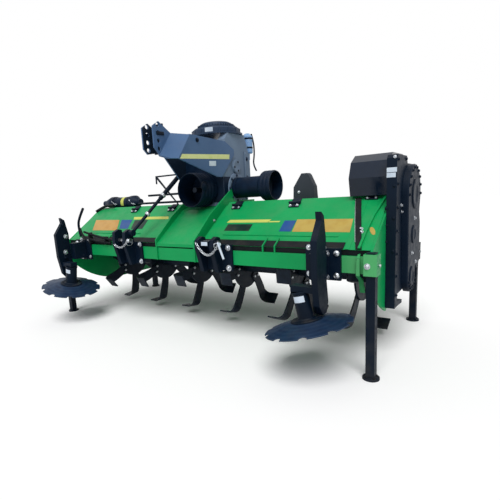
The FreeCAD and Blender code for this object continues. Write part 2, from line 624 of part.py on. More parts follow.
def make_clutch_guard():
    guard = new_body("clutch_guard")
    front, rear = "clutch_guard_front", "clutch_guard_rear"
    top, low, wall = "clutch_guard_top", "clutch_guard_low", "clutch_guard_wall"
    shelf = "(cover_ridge_y + cover_shelf + clutch_guard_wall)"
    end = "(inner_half - seat_gap)"
    outer = [(shelf, "hood_top + seat_gap"), (shelf, low), (front + " + clutch_guard_chin", low),
             (front, "pto_z"), (front + " + clutch_guard_brow", top + " - clutch_guard_brow_drop"),
             (front + " + clutch_guard_crown", top), (rear + " - clutch_guard_slope", top),
             (rear, top + " - clutch_guard_slope_drop"),
             (rear, "hood_top + seat_gap - (clutch_guard_rear - hood_back_y) * hood_tail_slope"),
             ("hood_back_y", "hood_top + seat_gap")]
    prism(guard, "X", "clutch_guard_start", end + " - clutch_guard_start", outer)
    inner = [(front + " + clutch_guard_chin + " + wall, "%s + %s" % (low, wall)),
             ("%s + %s" % (front, wall), "pto_z"),
             ("%s + clutch_guard_brow + %s" % (front, wall), top + " - clutch_guard_brow_drop"),
             (front + " + clutch_guard_crown", "%s - %s" % (top, wall)),
             (rear + " - clutch_guard_slope", "%s - %s" % (top, wall)),
             ("%s - %s" % (rear, wall), top + " - clutch_guard_slope_drop"),
             ("%s - %s" % (rear, wall), "%s + %s" % (low, wall))]
    prism(guard, "X", "clutch_guard_start", "%s - clutch_guard_start - %s" % (end, wall), inner,
          removing=True)
    rod(guard, "X", "side_y", "pto_z", "guard_hole", "inner_half - 3 * end_wall",
        "3 * end_wall", removing=True)


def make_gearcase():
    case = new_body("gearcase")
    outline = [("case_front", "case_low"), ("case_heel_y + case_foot_tail", "case_low"),
               ("case_front + case_foot", "case_low - case_foot_wall / 4"),
               ("case_front + case_foot", "case_low + case_foot_tail"),
               ("case_heel_y", "case_low + case_foot_wall"), ("case_heel_y", "case_sole"),
               ("case_toe_y", "case_sole"), ("case_toe_y + case_toe", "case_toe_z"),
               ("case_back", "case_back_low"), ("case_back", "case_mid"),
               ("case_back - case_corner", "case_shoulder"),
               ("case_top_y + case_corner", "case_shoulder"), ("case_top_y", "case_top"),
               ("case_front + case_corner", "case_top"),
               ("case_front", "case_top - case_corner")]
    start = "frame_half + seat_gap"
    prism(case, "X", start, "case_wall - seat_gap", outline)

    lid = new_body("gearcase_lid")
    rod(lid, "X", "rotor_y", "rotor_z", "lid_low_radius", "lid_start", "lid_wall")
    prism(lid, "X", "lid_start", "lid_wall",
          [("rotor_y - lid_low_radius", "rotor_z"), ("rotor_y + lid_low_radius", "rotor_z"),
           ("side_y + lid_top_radius", "lid_top_z"), ("side_y - lid_top_radius", "lid_top_z")])
    rod(lid, "X", "side_y", "lid_top_z", "lid_top_radius", "lid_start", "lid_wall")

    rear = new_body("rear_guard")
    end, near = "rear_guard_end", "case_back + seat_gap"
    outline = [(near, "case_back_low"), (end + " - rear_guard_slope", "rear_guard_low"),
               (end, "rear_guard_mid"), (end, "rear_guard_high"),
               (end + " - rear_guard_slope", "rear_guard_top"), (near, "rear_guard_top")]
    prism(rear, "X", start, "rear_guard_wall - seat_gap", outline)


def make_lower_hitch(name, side):
    """Two lugs on a base plate that reaches out on the right of both hitches. The left hitch
    sits further out, and its lugs are taller for the foot of the brace."""
    hitch = new_body("lower_hitch_" + name)
    low, high = "beam_bottom - hitch_plate_up", "beam_top + hitch_plate_up"
    reach = "(hitch_gap / 2 + lug_wall)"
    centre, top = mirrored(side, "hitch_" + name), "lug_top_" + name
    box(hitch, ("%s - %s" % (centre, reach), "-hitch_plate", low),
        ("%s + %s + hitch_plate_over" % (centre, reach), "-seat_gap", high))
    lug = [("-hitch_plate", "lug_low"), ("-hitch_plate", high),
           ("-lug_back", top + " - lug_back / 3"), ("-2 * lug_back", top),
           ("-(lug_reach - lug_back / 3)", top + " - lug_brow"),
           ("-lug_reach", "hitch_pin_z - lug_nose"), ("-lug_waist", "lug_low")]
    for start in ("%s - %s" % (centre, reach), "%s + hitch_gap / 2" % centre):
        prism(hitch, "X", start, "lug_wall", lug)
    rod(hitch, "X", "-hitch_pin_y", "hitch_pin_z", "hitch_pin",
        "%s - 2 * %s" % (centre, reach), "4 * " + reach, removing=True)

    pin = new_body("lower_pin_" + name)
    reach = "(hitch_gap / 2 + lug_wall + hitch_pin_over)"
    free, shank = "(hitch_gap / 2 - pin_step)", "hitch_pin - pin_step"
    steps = [("- " + reach, "0"), ("- " + reach, shank), ("- " + free, shank),
             ("- " + free, "hitch_pin"), ("+ " + free, "hitch_pin"), ("+ " + free, shank),
             ("+ " + reach, shank), ("+ " + reach, "0")]
    turn_up(pin, "X", "-hitch_pin_y", "hitch_pin_z",
            [(centre + " " + along, radius) for along, radius in steps])


def lean_with_axle(thing, path, side):
    """Turn a body or a sketch about the machine's Y axis by the disc axle's lean. The axles
    lean towards the centre plane, so the outer rims stand higher."""
    turned = FreeCAD.Rotation(FreeCAD.Vector(0, 1, 0), 1)
    setattr(thing, path, FreeCAD.Placement(FreeCAD.Vector(0, 0, 0), turned))
    thing.setExpression(path + ".Rotation.Angle",
                        link(mirrored(-side, "disc_tilt")) + " * 1 deg")
    bind(thing, path + ".Base.x", mirrored(side, "disc_x"))


def make_disc_arm(name, side):
    arm = new_body("disc_arm_" + name)
    outline = [("-(arm_front - arm_shoulder / 2)", "arm_top - arm_crown_drop * 2"),
               ("-(arm_front - arm_crown)", "arm_top"),
               ("-(arm_rear + arm_crown_drop)", "arm_top - arm_crown_drop"),
               ("-arm_rear", "arm_top - arm_shoulder"), ("-arm_rear", "beam_bottom"),
               ("-(arm_rear - arm_toe_cut)", "arm_low + arm_toe"), ("-arm_rear", "arm_low"),
               ("-(arm_front - arm_shoulder / 2)", "arm_low"),
               ("-(arm_front - arm_toe_cut)", "arm_low + arm_toe"),
               ("-arm_front", "arm_low + arm_knee"), ("-arm_front", "arm_top - arm_shoulder")]
    start, length = span(side, "arm_inner", "arm_inner + arm_wall")
    prism(arm, "X", start, length, outline)

    clamp = new_body("disc_clamp_" + name)
    low_x, length = span(side, "arm_inner - clamp_width", "arm_inner - seat_gap")
    high_x = "%s + (%s)" % (low_x, length)
    box(clamp, (low_x, "-arm_rear", "beam_bottom - clamp_over"),
        (high_x, "-seat_gap", "beam_top + clamp_over"))
    low_x, length = span(side, "arm_inner - clamp_width", "arm_inner + clamp_reach")
    box(clamp, (low_x, "-clamp_plate", "beam_bottom - clamp_ear"),
        ("%s + (%s)" % (low_x, length), "-seat_gap", "beam_top + clamp_ear"))

    carrier = new_body("disc_carrier_" + name)
    low_z = "disc_z + hub_height + carrier_gap"
    low_x, length = span(side, "disc_x - carrier_reach", "arm_inner - seat_gap")
    box(carrier, (low_x, "-(disc_y + carrier_half)", low_z),
        ("%s + (%s)" % (low_x, length), "-(disc_y - carrier_half)", low_z + " + carrier_wall"))
    axle = new_sketch(carrier, "Z")
    lean_with_axle(axle, "AttachmentOffset", side)
    bind(axle, "AttachmentOffset.Base.y", "-disc_y")
    bind(axle, "AttachmentOffset.Base.z", "disc_z")
    draw_circle(axle, "0", "0", "spindle")
    shaft = carrier.newObject("PartDesign::Pad", carrier.Label + "_axle")
    shaft.Profile = axle
    bind(shaft, "Length", "hub_height + carrier_gap + carrier_wall / 2")
    carrier.Tip = shaft


def make_disc(name, side):
    disc = new_body("coulter_disc_" + name)
    hub = new_body("disc_hub_" + name)
    for body in (disc, hub):
        lean_with_axle(body, "Placement", side)
        bind(body, "Placement.Base.y", "-disc_y - pto_y")
        bind(body, "Placement.Base.z", "disc_z - pto_z")
    bore = "(spindle + spindle_clearance)"
    sketch = new_sketch(disc, "X")
    draw_outline(sketch, [("disc_radius", "-disc_dish"), ("disc_flat", "0"), ("0", "0"),
                          ("0", "-disc_wall"), ("disc_flat", "-disc_wall"),
                          ("disc_radius", "-disc_dish - disc_wall")])
    dish = disc.newObject("PartDesign::Revolution", disc.Label + "_dish")
    dish.Profile = sketch
    dish.ReferenceAxis = (sketch, ["V_Axis"])
    dish.Angle = 360
    disc.Tip = dish
    doc.recompute()
    rod(disc, "Z", "0", "0", bore, "-2 * disc_wall", "4 * disc_wall", removing=True)
    notch = rod(disc, "Z", "disc_radius", "0", "disc_notch", "-2 * disc_dish - disc_wall",
                "2 * disc_dish + disc_wall", removing=True)
    ring = disc.newObject("PartDesign::PolarPattern", disc.Label + "_notches")
    ring.Originals = [notch]
    axis = [item for item in disc.Origin.OriginFeatures if item.Role == "Z_Axis"][0]
    ring.Axis = (axis, [""])
    ring.Angle = 360
    bind(ring, "Occurrences", "disc_notches")
    disc.Tip = ring

    rod(hub, "Z", "0", "0", "hub_radius", "seat_gap", "hub_height - seat_gap")
    rod(hub, "Z", "0", "0", bore, "0", "2 * hub_height", removing=True)


def flange_places():
    return ["(%d - (flanges - 1) / 2) * flange_pitch + flange_shift" % index
            for index in range(DIMENSIONS["flanges"])]


def make_rotor():
    tube = new_body("rotor_tube")
    end = "(inner_half - seat_gap)"
    profile = [("-" + end, "0"), ("-" + end, "rotor_stub"), ("-tube_half", "rotor_stub"),
               ("-tube_half", "rotor_tube"), ("tube_half", "rotor_tube"),
               ("tube_half", "rotor_stub"), (end, "rotor_stub"), (end, "0")]
    turn_up(tube, "X", "rotor_y", "rotor_z", profile)

    rings = new_body("rotor_flanges")
    for middle in flange_places():
        rod(rings, "X", "rotor_y", "rotor_z", "flange_radius", middle + " - flange_wall / 2",
            "flange_wall")
    rod(rings, "X", "rotor_y", "rotor_z", "rotor_tube + seat_gap", "-inner_half",
        "2 * inner_half", removing=True)


def make_blade(side):
    """One blade, drawn with its root against a flange at the centre plane and its shank
    pointing up from the rotor's axis. The shank runs out along the flange's face, and the
    wing turns away from the flange on a smooth bend."""
    blade = doc.addObject("PartDesign::Body", "blade_pattern_%d" % (side + 1))
    out, tip = "(flange_wall / 2 + seat_gap)", "(rotor_reach - blade_drop)"
    bend, inner = "blade_bend", "(blade_bend - blade_wall)"
    section = [(out, "blade_root"), (out, tip + " - blade_bend", bend, -side),
               (out + " + blade_bend", tip), (out + " + blade_side", tip),
               (out + " + blade_side", tip + " - blade_wall"),
               (out + " + blade_bend", tip + " - blade_wall", inner, side),
               (out + " + blade_wall", tip + " - blade_bend"),
               (out + " + blade_wall", "blade_root")]
    section = [(mirrored(side, corner[0]),) + corner[1:] for corner in section]
    sketch = new_sketch(blade, "Y", "-2 * blade_width")
    draw_outline(sketch, section)
    strip = blade.newObject("PartDesign::Pad", "strip")
    strip.Profile = sketch
    bind(strip, "Length", "4 * blade_width")
    blade.Tip = strip
    frame = [("-4 * blade_width", "0"), ("4 * blade_width", "0"),
             ("4 * blade_width", "2 * rotor_reach"), ("-4 * blade_width", "2 * rotor_reach")]
    half, neck = "blade_width / 2", "(flange_radius - blade_width / 4)"
    profile = [("-" + half, "blade_root"), (half, "blade_root"),
               (half, neck, "2 * rotor_reach", -1),
               ("blade_sweep", "rotor_reach - 2 * blade_nose"),
               ("blade_sweep + blade_nose / 2", "rotor_reach"),
               ("blade_sweep - blade_width", "rotor_reach"),
               ("blade_sweep - blade_width - blade_nose / 2", "rotor_reach - 2 * blade_nose",
                "2 * rotor_reach", 1), ("-" + half, neck)]

    def draw_trim(sketch):
        draw_outline(sketch, frame)
        draw_outline(sketch, profile)
    extrude(blade, "X", "-2 * blade_side", "4 * blade_side", draw_trim, removing=True)
    return blade


def make_blades():
    patterns = {side: make_blade(side) for side in (-1, 1)}
    doc.recompute()
    copies = []
    around = 2 * DIMENSIONS["blades_per_side"]
    for index, middle in enumerate(flange_places()):
        for number in range(around):
            side = 1 if number % 2 else -1
            turned = size("blade_start") + index * size("blade_step")
            angle = number * 360 / around + turned
            shape = patterns[side].Shape.copy()
            shape.rotate(FreeCAD.Vector(0, 0, 0), FreeCAD.Vector(1, 0, 0), angle)
            shape.translate(FreeCAD.Vector(size(middle), 0, 0))
            copies.append(shape)
    blades = doc.addObject("Part::Feature", "rotor_blades")
    blades.Label = "rotor_blades"
    blades.Shape = Part.makeCompound(copies)
    bind(blades, "Placement.Base.y", "rotor_y - pto_y")
    bind(blades, "Placement.Base.z", "rotor_z - pto_z")
    exported.append(blades)


def make_bearing():
    cover = new_body("rotor_bearing")
    rod(cover, "X", "rotor_y", "rotor_z", "bearing_radius", "-(frame_half + bearing_wall)",
        "bearing_wall - seat_gap")


def make_rear_board():
    board = new_body("rear_board")
    path = [("hinge_y", "hinge_z - board_root"), ("board_low_y", "board_low_z"),
            ("board_low_y - board_toe / 2", "board_low_z - board_toe")]
    bent_sheet(board, "-board_half", "2 * board_half", path, "board_wall", 1)
    rod(board, "X", "hinge_y", "hinge_z", "hinge_tube", "-board_half", "2 * board_half")
    rod(board, "X", "hinge_y", "hinge_z", "hinge_pin + hinge_clearance", "-board_half - 1",
        "2 * board_half + 2", removing=True)

    pin = new_body("board_hinge_pin")
    rod(pin, "X", "hinge_y", "hinge_z", "hinge_pin", "-(board_half + hinge_play)",
        "2 * (board_half + hinge_play)")
    for side in (-1, 1):
        start, length = span(side, "board_half + hinge_play - seat_gap", "inner_half - seat_gap")
        rod(pin, "X", "hinge_y", "hinge_z", "hinge_boss", start, length)


def make_stand(label, side, depth, low, top, leg_top, bracket):
    centre = mirrored(side, "stand_x")
    socket = new_body("stand_socket_" + label)
    half, gap = "(socket_size / 2)", "(leg_size / 2 + leg_fit)"
    box(socket, ("%s - %s" % (centre, half), "%s - %s" % (depth, half), low),
        ("%s + %s" % (centre, half), "%s + %s" % (depth, half), top))
    box(socket, ("%s - %s" % (centre, gap), "%s - %s" % (depth, gap), low + " - 1"),
        ("%s + %s" % (centre, gap), "%s + %s" % (depth, gap), top + " + 1"), removing=True)
    if bracket:
        start, length = span(side, "inner_half", "frame_half")
        box(socket, (start, bracket, low),
            ("%s + (%s)" % (start, length), "%s - %s + 1" % (depth, half), top))

    leg = new_body("stand_" + label)
    rod(leg, "Z", centre, depth, "foot_radius", "0", "foot_wall")
    half = "leg_size / 2"
    box(leg, ("%s - %s" % (centre, half), "%s - %s" % (depth, half), "foot_wall"),
        ("%s + %s" % (centre, half), "%s + %s" % (depth, half), leg_top))


def make_stands(name, side):
    make_stand("front_" + name, side, "stand_front_y", "socket_low", "socket_top",
               "front_leg_top", "")
    make_stand("rear_" + name, side, "stand_rear_y", "rear_socket_low", "rear_socket_top",
               "rear_leg_top", "end_rear + seat_gap")


def make_post():
    post = new_body("board_post")
    low = "hood_top + seat_gap"
    shape = [(-1, low), (1, low), (0.9, "post_top - post_shoulder"),
             (0.45, "post_top - post_drop / 3"), (0.3, "post_top"), (-0.2, "post_top"),
             (-0.5, "post_top - post_drop"), (-0.95, "post_top - post_shoulder")]
    outline = [("post_x + post_half * %.2f" % share, up) for share, up in shape]
    prism(post, "Y", "post_y - post_wall / 2", "post_wall", outline)


def make_rack():
    """A light rack of flat bar for the tractor's hoses: a rail out from the gearbox, a stay
    down to the hood and a short hook at the outer end."""
    rack = new_body("hose_rack")
    end, under = "-rack_end", "rack_top - rack_bar"
    corners = [("-body_half", "rack_top"), (end, "rack_top"), (end, "rack_top - rack_drop"),
               (end + " + rack_bar", "rack_top - rack_drop"),
               (end + " + rack_bar", under + " - rack_bar"),
               ("-rack_foot - rack_bar", "hood_top + seat_gap"),
               ("-rack_foot", "hood_top + seat_gap"), (end + " + 2 * rack_bar", under),
               ("-body_half", under)]
    prism(rack, "Y", "rack_y - rack_wall / 2", "rack_wall", corners)


def make_drive_shaft():
    """The drive shaft for the tractor, in its plastic guard. It lies on the hood, in the corner
    behind the shelf of the left cover, with the wide ends of its cones towards its middle."""
    shaft = new_body("drive_shaft")
    left, right = "(-spare_outer)", "(-spare_inner)"
    first = "(-spare_outer + spare_yoke_length + spare_cone)"
    last = "(-spare_inner - spare_yoke_length - spare_short_cone)"
    profile = [(left, "0"), (left, "spare_yoke"), (left + " + spare_yoke_length", "spare_yoke"),
               (first, "spare_radius"), (first + " + spare_collar", "spare_radius"),
               (first + " + spare_collar", "spare_tube"), (last + " - spare_collar", "spare_tube"),
               (last + " - spare_collar", "spare_radius"), (last, "spare_radius"),
               (right + " - spare_yoke_length", "spare_yoke"), (right, "spare_yoke"),
               (right, "0")]
    turn_up(shaft, "X", "cover_ridge_y + cover_shelf + cover_wall + seat_gap + spare_radius",
            "hood_top + seat_gap + spare_radius", profile)


def make_brace():
    """The stay from the left lower hitch up to the headstock: a rod in a thicker sleeve, with
    an eye at each end."""
    foot_x = "-(hitch_left - hitch_gap / 2 - lug_wall - seat_gap)"
    head_x = "-(body_half + head_wall + seat_gap)"
    eyes = []
    for across, depth, height, turn in ((foot_x, "brace_foot_y", "brace_foot_z", 90),
                                        (head_x, "brace_head_y", "brace_head_z", -90)):
        eye = doc.addObject("Part::Cylinder", "brace_end")
        bind(eye, "Radius", "brace_eye")
        bind(eye, "Height", "brace_eye_wall")
        place = FreeCAD.Vector(size(across), size(depth + " - pto_y"), size(height + " - pto_z"))
        turned = FreeCAD.Rotation(FreeCAD.Vector(0, 1, 0), turn)
        eye.Placement = FreeCAD.Placement(place, turned)
        middle = place + turned.multVec(FreeCAD.Vector(0, 0, size("brace_eye_wall / 2")))
        eyes.append((eye, middle))
    foot, head = eyes[0][1], eyes[1][1]
    run = head - foot
    along = FreeCAD.Rotation(FreeCAD.Vector(0, 0, 1), run)
    thin = doc.addObject("Part::Cylinder", "brace_thin")
    bind(thin, "Radius", "brace_rod")
    thin.Height = run.Length
    thin.Placement = FreeCAD.Placement(foot, along)
    thick = doc.addObject("Part::Cylinder", "brace_thick")
    bind(thick, "Radius", "brace_sleeve")
    share = size("brace_share")
    thick.Height = run.Length * share
    thick.Placement = FreeCAD.Placement(foot + run * (1 - share), along)
    brace = doc.addObject("Part::MultiFuse", "brace")
    brace.Label = "headstock_brace"
    brace.Shapes = [eyes[0][0], eyes[1][0], thin, thick]
    exported.append(brace)


make_beam()
both_sides(make_end_plate)
make_hood()
make_covers()
make_cover_legs()
make_centre_frame()
make_gearbox()
make_dome()
make_canister()
both_sides(make_headstock)
make_guards()
make_shafts()
make_clutch_guard()
make_gearcase()
both_sides(make_lower_hitch)
both_sides(make_disc_arm)
both_sides(make_disc)
make_rotor()
make_blades()
make_bearing()
make_rear_board()
both_sides(make_stands)
make_post()
make_rack()
make_drive_shaft()
make_brace()
doc.recompute()

for item in doc.Objects:
    if "Invalid" in item.State or "Error" in item.State:
        raise SystemExit("failed: %s %s" % (item.Label, item.State))
os.makedirs("parts", exist_ok=True)
for item in exported:
    shape = item.Shape
    if shape.isNull() or not shape.isValid() or not shape.Solids:
        raise SystemExit("bad shape: " + item.Label)
    shape.exportStep("parts/%s.step" % item.Label)
    print("%-26s solids %2d volume %12.0f" % (item.Label, len(shape.Solids), shape.Volume))
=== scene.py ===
# %% [markdown]
# # Dressing a three metre rotary tiller
# The machine hangs behind a tractor and chops soil with a bladed rotor. Its solids come from a
# CAD model and stay as they are. This script gives them their paint, steel and plastic, and adds
# the small things that a CAD model leaves out: bolts, chains, pins, strips and blank stickers.

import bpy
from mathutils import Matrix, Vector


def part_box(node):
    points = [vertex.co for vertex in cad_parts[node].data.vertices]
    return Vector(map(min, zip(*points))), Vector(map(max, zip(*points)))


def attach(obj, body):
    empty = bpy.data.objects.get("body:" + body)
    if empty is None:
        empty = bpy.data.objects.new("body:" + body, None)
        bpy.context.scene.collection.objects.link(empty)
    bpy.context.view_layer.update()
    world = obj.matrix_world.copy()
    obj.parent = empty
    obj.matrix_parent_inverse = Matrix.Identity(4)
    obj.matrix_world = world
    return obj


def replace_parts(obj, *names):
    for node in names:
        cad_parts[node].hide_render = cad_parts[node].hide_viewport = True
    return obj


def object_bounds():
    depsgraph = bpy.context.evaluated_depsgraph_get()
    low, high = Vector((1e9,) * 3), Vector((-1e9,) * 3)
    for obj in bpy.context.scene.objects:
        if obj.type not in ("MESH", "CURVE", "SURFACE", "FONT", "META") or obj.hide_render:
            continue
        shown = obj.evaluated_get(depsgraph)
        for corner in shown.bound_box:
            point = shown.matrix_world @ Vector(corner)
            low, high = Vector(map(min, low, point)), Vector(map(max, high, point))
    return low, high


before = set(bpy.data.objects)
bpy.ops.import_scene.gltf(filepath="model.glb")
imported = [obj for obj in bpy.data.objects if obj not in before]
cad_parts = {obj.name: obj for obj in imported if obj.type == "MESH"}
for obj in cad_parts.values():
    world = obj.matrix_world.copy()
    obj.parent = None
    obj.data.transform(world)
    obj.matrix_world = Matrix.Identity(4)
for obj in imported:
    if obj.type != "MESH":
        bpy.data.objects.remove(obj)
cad_low, cad_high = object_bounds()

# %% Modules
import math

import bmesh
import bpy
from mathutils import Matrix, Vector

# %% [markdown]
# ## Where things are
# Lengths are metres. It is easier to think in distances from the centre plane, from the front
# face of the main beam and from the ground, so one helper turns those into the model's own frame.
# Surfaces are found by asking a node for its outermost face in a direction, so that a sticker
# lies on the sheet even if the sheet moves. Typed coordinates would be shorter, but they would
# all be wrong after the first change to the model.

# %% Points and surfaces
GROUND = cad_low.z
BEAM_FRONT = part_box("front_beam")[0].y
RIGHT, BACK, UP = Vector((1, 0, 0)), Vector((0, 1, 0)), Vector((0, 0, 1))
LEFT, FRONT = -RIGHT, -BACK


def at(x, y, z):
    """A point from the centre plane, the beam's front face and the ground."""
    return Vector((x, BEAM_FRONT + y, GROUND + z))


def outer_face(node, facing):
    """A point on the outermost flat face of a node that looks in a direction, and its normal."""
    facing = Vector(facing).normalized()
    faces = [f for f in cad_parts[node].data.polygons if f.normal.dot(facing) > 0.985]
    best = max(faces, key=lambda f: f.center.dot(facing))
    return best.center.copy(), best.normal.copy()


SLOPE_POINT, SLOPE_NORMAL = outer_face("cover_right", (0, -0.59, 0.81))
SLOPE_UP = SLOPE_NORMAL.cross(RIGHT)
FOOT_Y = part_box("cover_right")[0].y
SLOPE_FOOT = SLOPE_POINT + SLOPE_UP * ((FOOT_Y - SLOPE_POINT.y) / SLOPE_UP.y)


def on_cover(x, up, lift=0.0):
    """A point on the front covers: x along the machine, up the slope from its foot, off it."""
    return Vector((x, *SLOPE_FOOT.yz)) + SLOPE_UP * up + SLOPE_NORMAL * lift


print("ground", round(GROUND, 3), "cover slope", [round(v, 3) for v in SLOPE_NORMAL])

# %% [markdown]
# ## Camera
# The view is a wide one from the front right, at about the height of the gearbox, and it looks
# slightly down. The camera is turned a few degrees about its own axis, as a hand-held one is. A
# constraint that tracks a target couldn't give that turn, so the three axes are worked out.

# %% Camera
YAW, PITCH, ROLL = (math.radians(v) for v in (36.77, 10.25, -3.4))
EYE = at(2.110, -2.137, 1.087)
forward = Vector((-math.sin(YAW) * math.cos(PITCH), math.cos(YAW) * math.cos(PITCH),
                  -math.sin(PITCH)))
level = Vector((math.cos(YAW), math.sin(YAW), 0))
upright = level.cross(forward)
side = math.cos(ROLL) * level + math.sin(ROLL) * upright
head = -math.sin(ROLL) * level + math.cos(ROLL) * upright
lens = bpy.data.cameras.new("camera")
lens.sensor_width, lens.lens = 36, 27.31   # both in mm
lens.shift_x, lens.shift_y = 0.0431, 0.0293
lens.clip_end = 60
camera = bpy.data.objects.new("camera", lens)
turn = Matrix((side, head, -forward)).transposed().to_4x4()
camera.matrix_world = Matrix.Translation(EYE) @ turn
bpy.context.scene.collection.objects.link(camera)
bpy.context.scene.camera = camera
bpy.context.scene.view_settings.view_transform = "Standard"
print("camera at", [round(v, 2) for v in camera.location])

# %% [markdown]
# ## Material helpers
# Colours are chosen as the hex values of a paint card, which are meant for the eye, while a
# shader works with linear light, so one function converts them. A second one adds a node with
# its settings and its links, which keeps each material readable as a list of steps.

# %% Colour and node helpers
MM = 0.001
MIX_A, MIX_B, MIX_OUT = 6, 7, 2   # the colour sockets of a Mix node


def paint_card(code):
    """The linear colour, with alpha, of an sRGB hex code."""
    parts = [int(code[i:i + 2], 16) / 255 for i in (1, 3, 5)]
    return tuple(c / 12.92 if c <= 0.04045 else ((c + 0.055) / 1.055) ** 2.4
                 for c in parts) + (1.0,)


def add_node(material, kind, settings, output=0):
    """Add a node and give back one output. A setting names a property or a socket, and is a
    value, a hex colour or the output of an earlier node."""
    node = material.node_tree.nodes.new(kind)
    for name, value in settings.items():
        if isinstance(name, str) and name not in node.inputs:
            setattr(node, name, value)
        elif isinstance(value, bpy.types.NodeSocket):
            material.node_tree.links.new(value, node.inputs[name])
        else:
            node.inputs[name].default_value = (paint_card(value) if isinstance(value, str)
                                               else value)
    return node.outputs[output] if node.outputs else node


def new_material(name):
    """An empty node material and the place of each point on the object."""
    material = bpy.data.materials.new(name)
    material.use_nodes = True
    material.node_tree.nodes.clear()
    return material, add_node(material, "ShaderNodeTexCoord", {}, "Object")


# %% [markdown]
# ## Clouds, worn edges and dust
# No real surface is even, so most finishes start from clouds of noise of a real size. Paint goes
# first where two faces meet. The Bevel node gives the normal that a slightly rounded edge would
# have, and where that differs from the true normal there is an edge. The same rounded normal
# also feeds the bump, so that sharp edges catch a thin line of light without more faces. Dust
# settles on faces that look up and near the ground.

# %% Clouds
def clouds(material, place, size, detail, start, end, low=0.0, high=1.0):
    """Patches of a size in metres, where noise from start to end becomes low to high."""
    noise = add_node(material, "ShaderNodeTexNoise",
                     {"Vector": place, "Scale": 1 / size, "Detail": detail})
    return add_node(material, "ShaderNodeMapRange",
                    {"Value": noise, "From Min": start, "From Max": end,
                     "To Min": low, "To Max": high})


# %% Edge and dust masks
def edges(material, width):
    """The rounded normal and a mask that is 1 along edges."""
    rounded = add_node(material, "ShaderNodeBevel", {"samples": 4, "Radius": width})
    true = add_node(material, "ShaderNodeNewGeometry", {}, "Normal")
    same = add_node(material, "ShaderNodeVectorMath",
                    {"operation": "DOT_PRODUCT", 0: rounded, 1: true}, "Value")
    return rounded, add_node(material, "ShaderNodeMapRange",
                             {"Value": same, "From Min": 0.97, "From Max": 0.80})


def dust(material, place, amount):
    """A patchy mask for faces that look up and for what is close to the ground."""
    true = add_node(material, "ShaderNodeNewGeometry", {}, "Normal")
    facing = add_node(material, "ShaderNodeSeparateXYZ", {0: true}, "Z")
    height = add_node(material, "ShaderNodeSeparateXYZ", {0: place}, "Z")
    above = add_node(material, "ShaderNodeMapRange", {"Value": facing, "From Min": 0.3})
    below = add_node(material, "ShaderNodeMapRange",
                     {"Value": height, "From Min": GROUND + 0.45, "From Max": GROUND})
    either = add_node(material, "ShaderNodeMath", {"operation": "MAXIMUM", 0: above, 1: below})
    patches = clouds(material, place, 90 * MM, 6.0, 0.42, 0.72, high=amount)
    return add_node(material, "ShaderNodeMath", {"operation": "MULTIPLY", 0: either, 1: patches})


# %% [markdown]
# ## Coats, skin and shader
# Every finish here ends alike: colours lie over each other where their masks let them, a fine
# skin bends the light, and one shader takes it all. A function for that last part means that a
# recipe only says what is its own.

# %% Last steps of every finish
SOIL, PALE_SOIL = "#9A8F7C", "#8F8674"   # dried on paint, and on steel and plastic


def finish(material, coats, skin, rounded, depth, reach, settings):
    """Lay the coats, bump the skin and add the shader. The first coat is a colour, and each
    one over it is a mask and the colour that shows there. Reach is the skin's height."""
    colour = coats[0]
    for mask, over in coats[1:]:
        colour = add_node(material, "ShaderNodeMix", {"data_type": "RGBA", 0: mask,
                                                      MIX_A: colour, MIX_B: over}, MIX_OUT)
    bumps = add_node(material, "ShaderNodeBump", {"Strength": depth, "Distance": reach,
                                                  "Height": skin, "Normal": rounded})
    shader = add_node(material, "ShaderNodeBsdfPrincipled",
                      {"Base Color": colour, "Normal": bumps, **settings})
    add_node(material, "ShaderNodeOutputMaterial", {"Surface": shader})
    return material


# %% [markdown]
# ## Coats of paint
# Every painted piece has the same build-up: a colour that drifts a little over the sheet, fine
# orange peel from the spray gun, chips along edges and dust. Enamel, powder coat and painted
# castings differ only in colour, gloss, peel and the colour under the chips. Orange peel is
# really about 2 mm across, which is too fine to show on a machine this long, so it is drawn at
# 9 mm. Two places differ, and each has a mask: painted shade on the inner faces of the headstock,
# and painted light on the front faces of the covers' drive end.

# %% Masks for two places
def shaded_inner_faces(material, place):
    """Faces that look towards the centre plane, for the headstock's painted shade."""
    normal = add_node(material, "ShaderNodeNewGeometry", {}, "Normal")
    look = add_node(material, "ShaderNodeSeparateXYZ", {0: normal}, "X")
    where = add_node(material, "ShaderNodeSeparateXYZ", {0: place}, "X")
    inward = add_node(material, "ShaderNodeMath", {"operation": "MULTIPLY", 0: look, 1: where})
    return add_node(material, "ShaderNodeMapRange",
                    {"Value": inward, "From Min": -0.010, "From Max": -0.030})


def lit_drive_end_front(material, place):
    """Faces that look forwards near the drive end, for the green's painted light."""
    normal = add_node(material, "ShaderNodeNewGeometry", {}, "Normal")
    look = add_node(material, "ShaderNodeSeparateXYZ", {0: normal}, "Y")
    where = add_node(material, "ShaderNodeSeparateXYZ", {0: place}, "X")
    front = add_node(material, "ShaderNodeMapRange",
                     {"Value": look, "From Min": -0.80, "From Max": -0.97})
    end = add_node(material, "ShaderNodeMapRange",
                   {"Value": where, "From Min": 1.25, "From Max": 1.40})
    return add_node(material, "ShaderNodeMath", {"operation": "MULTIPLY", 0: front, 1: end})


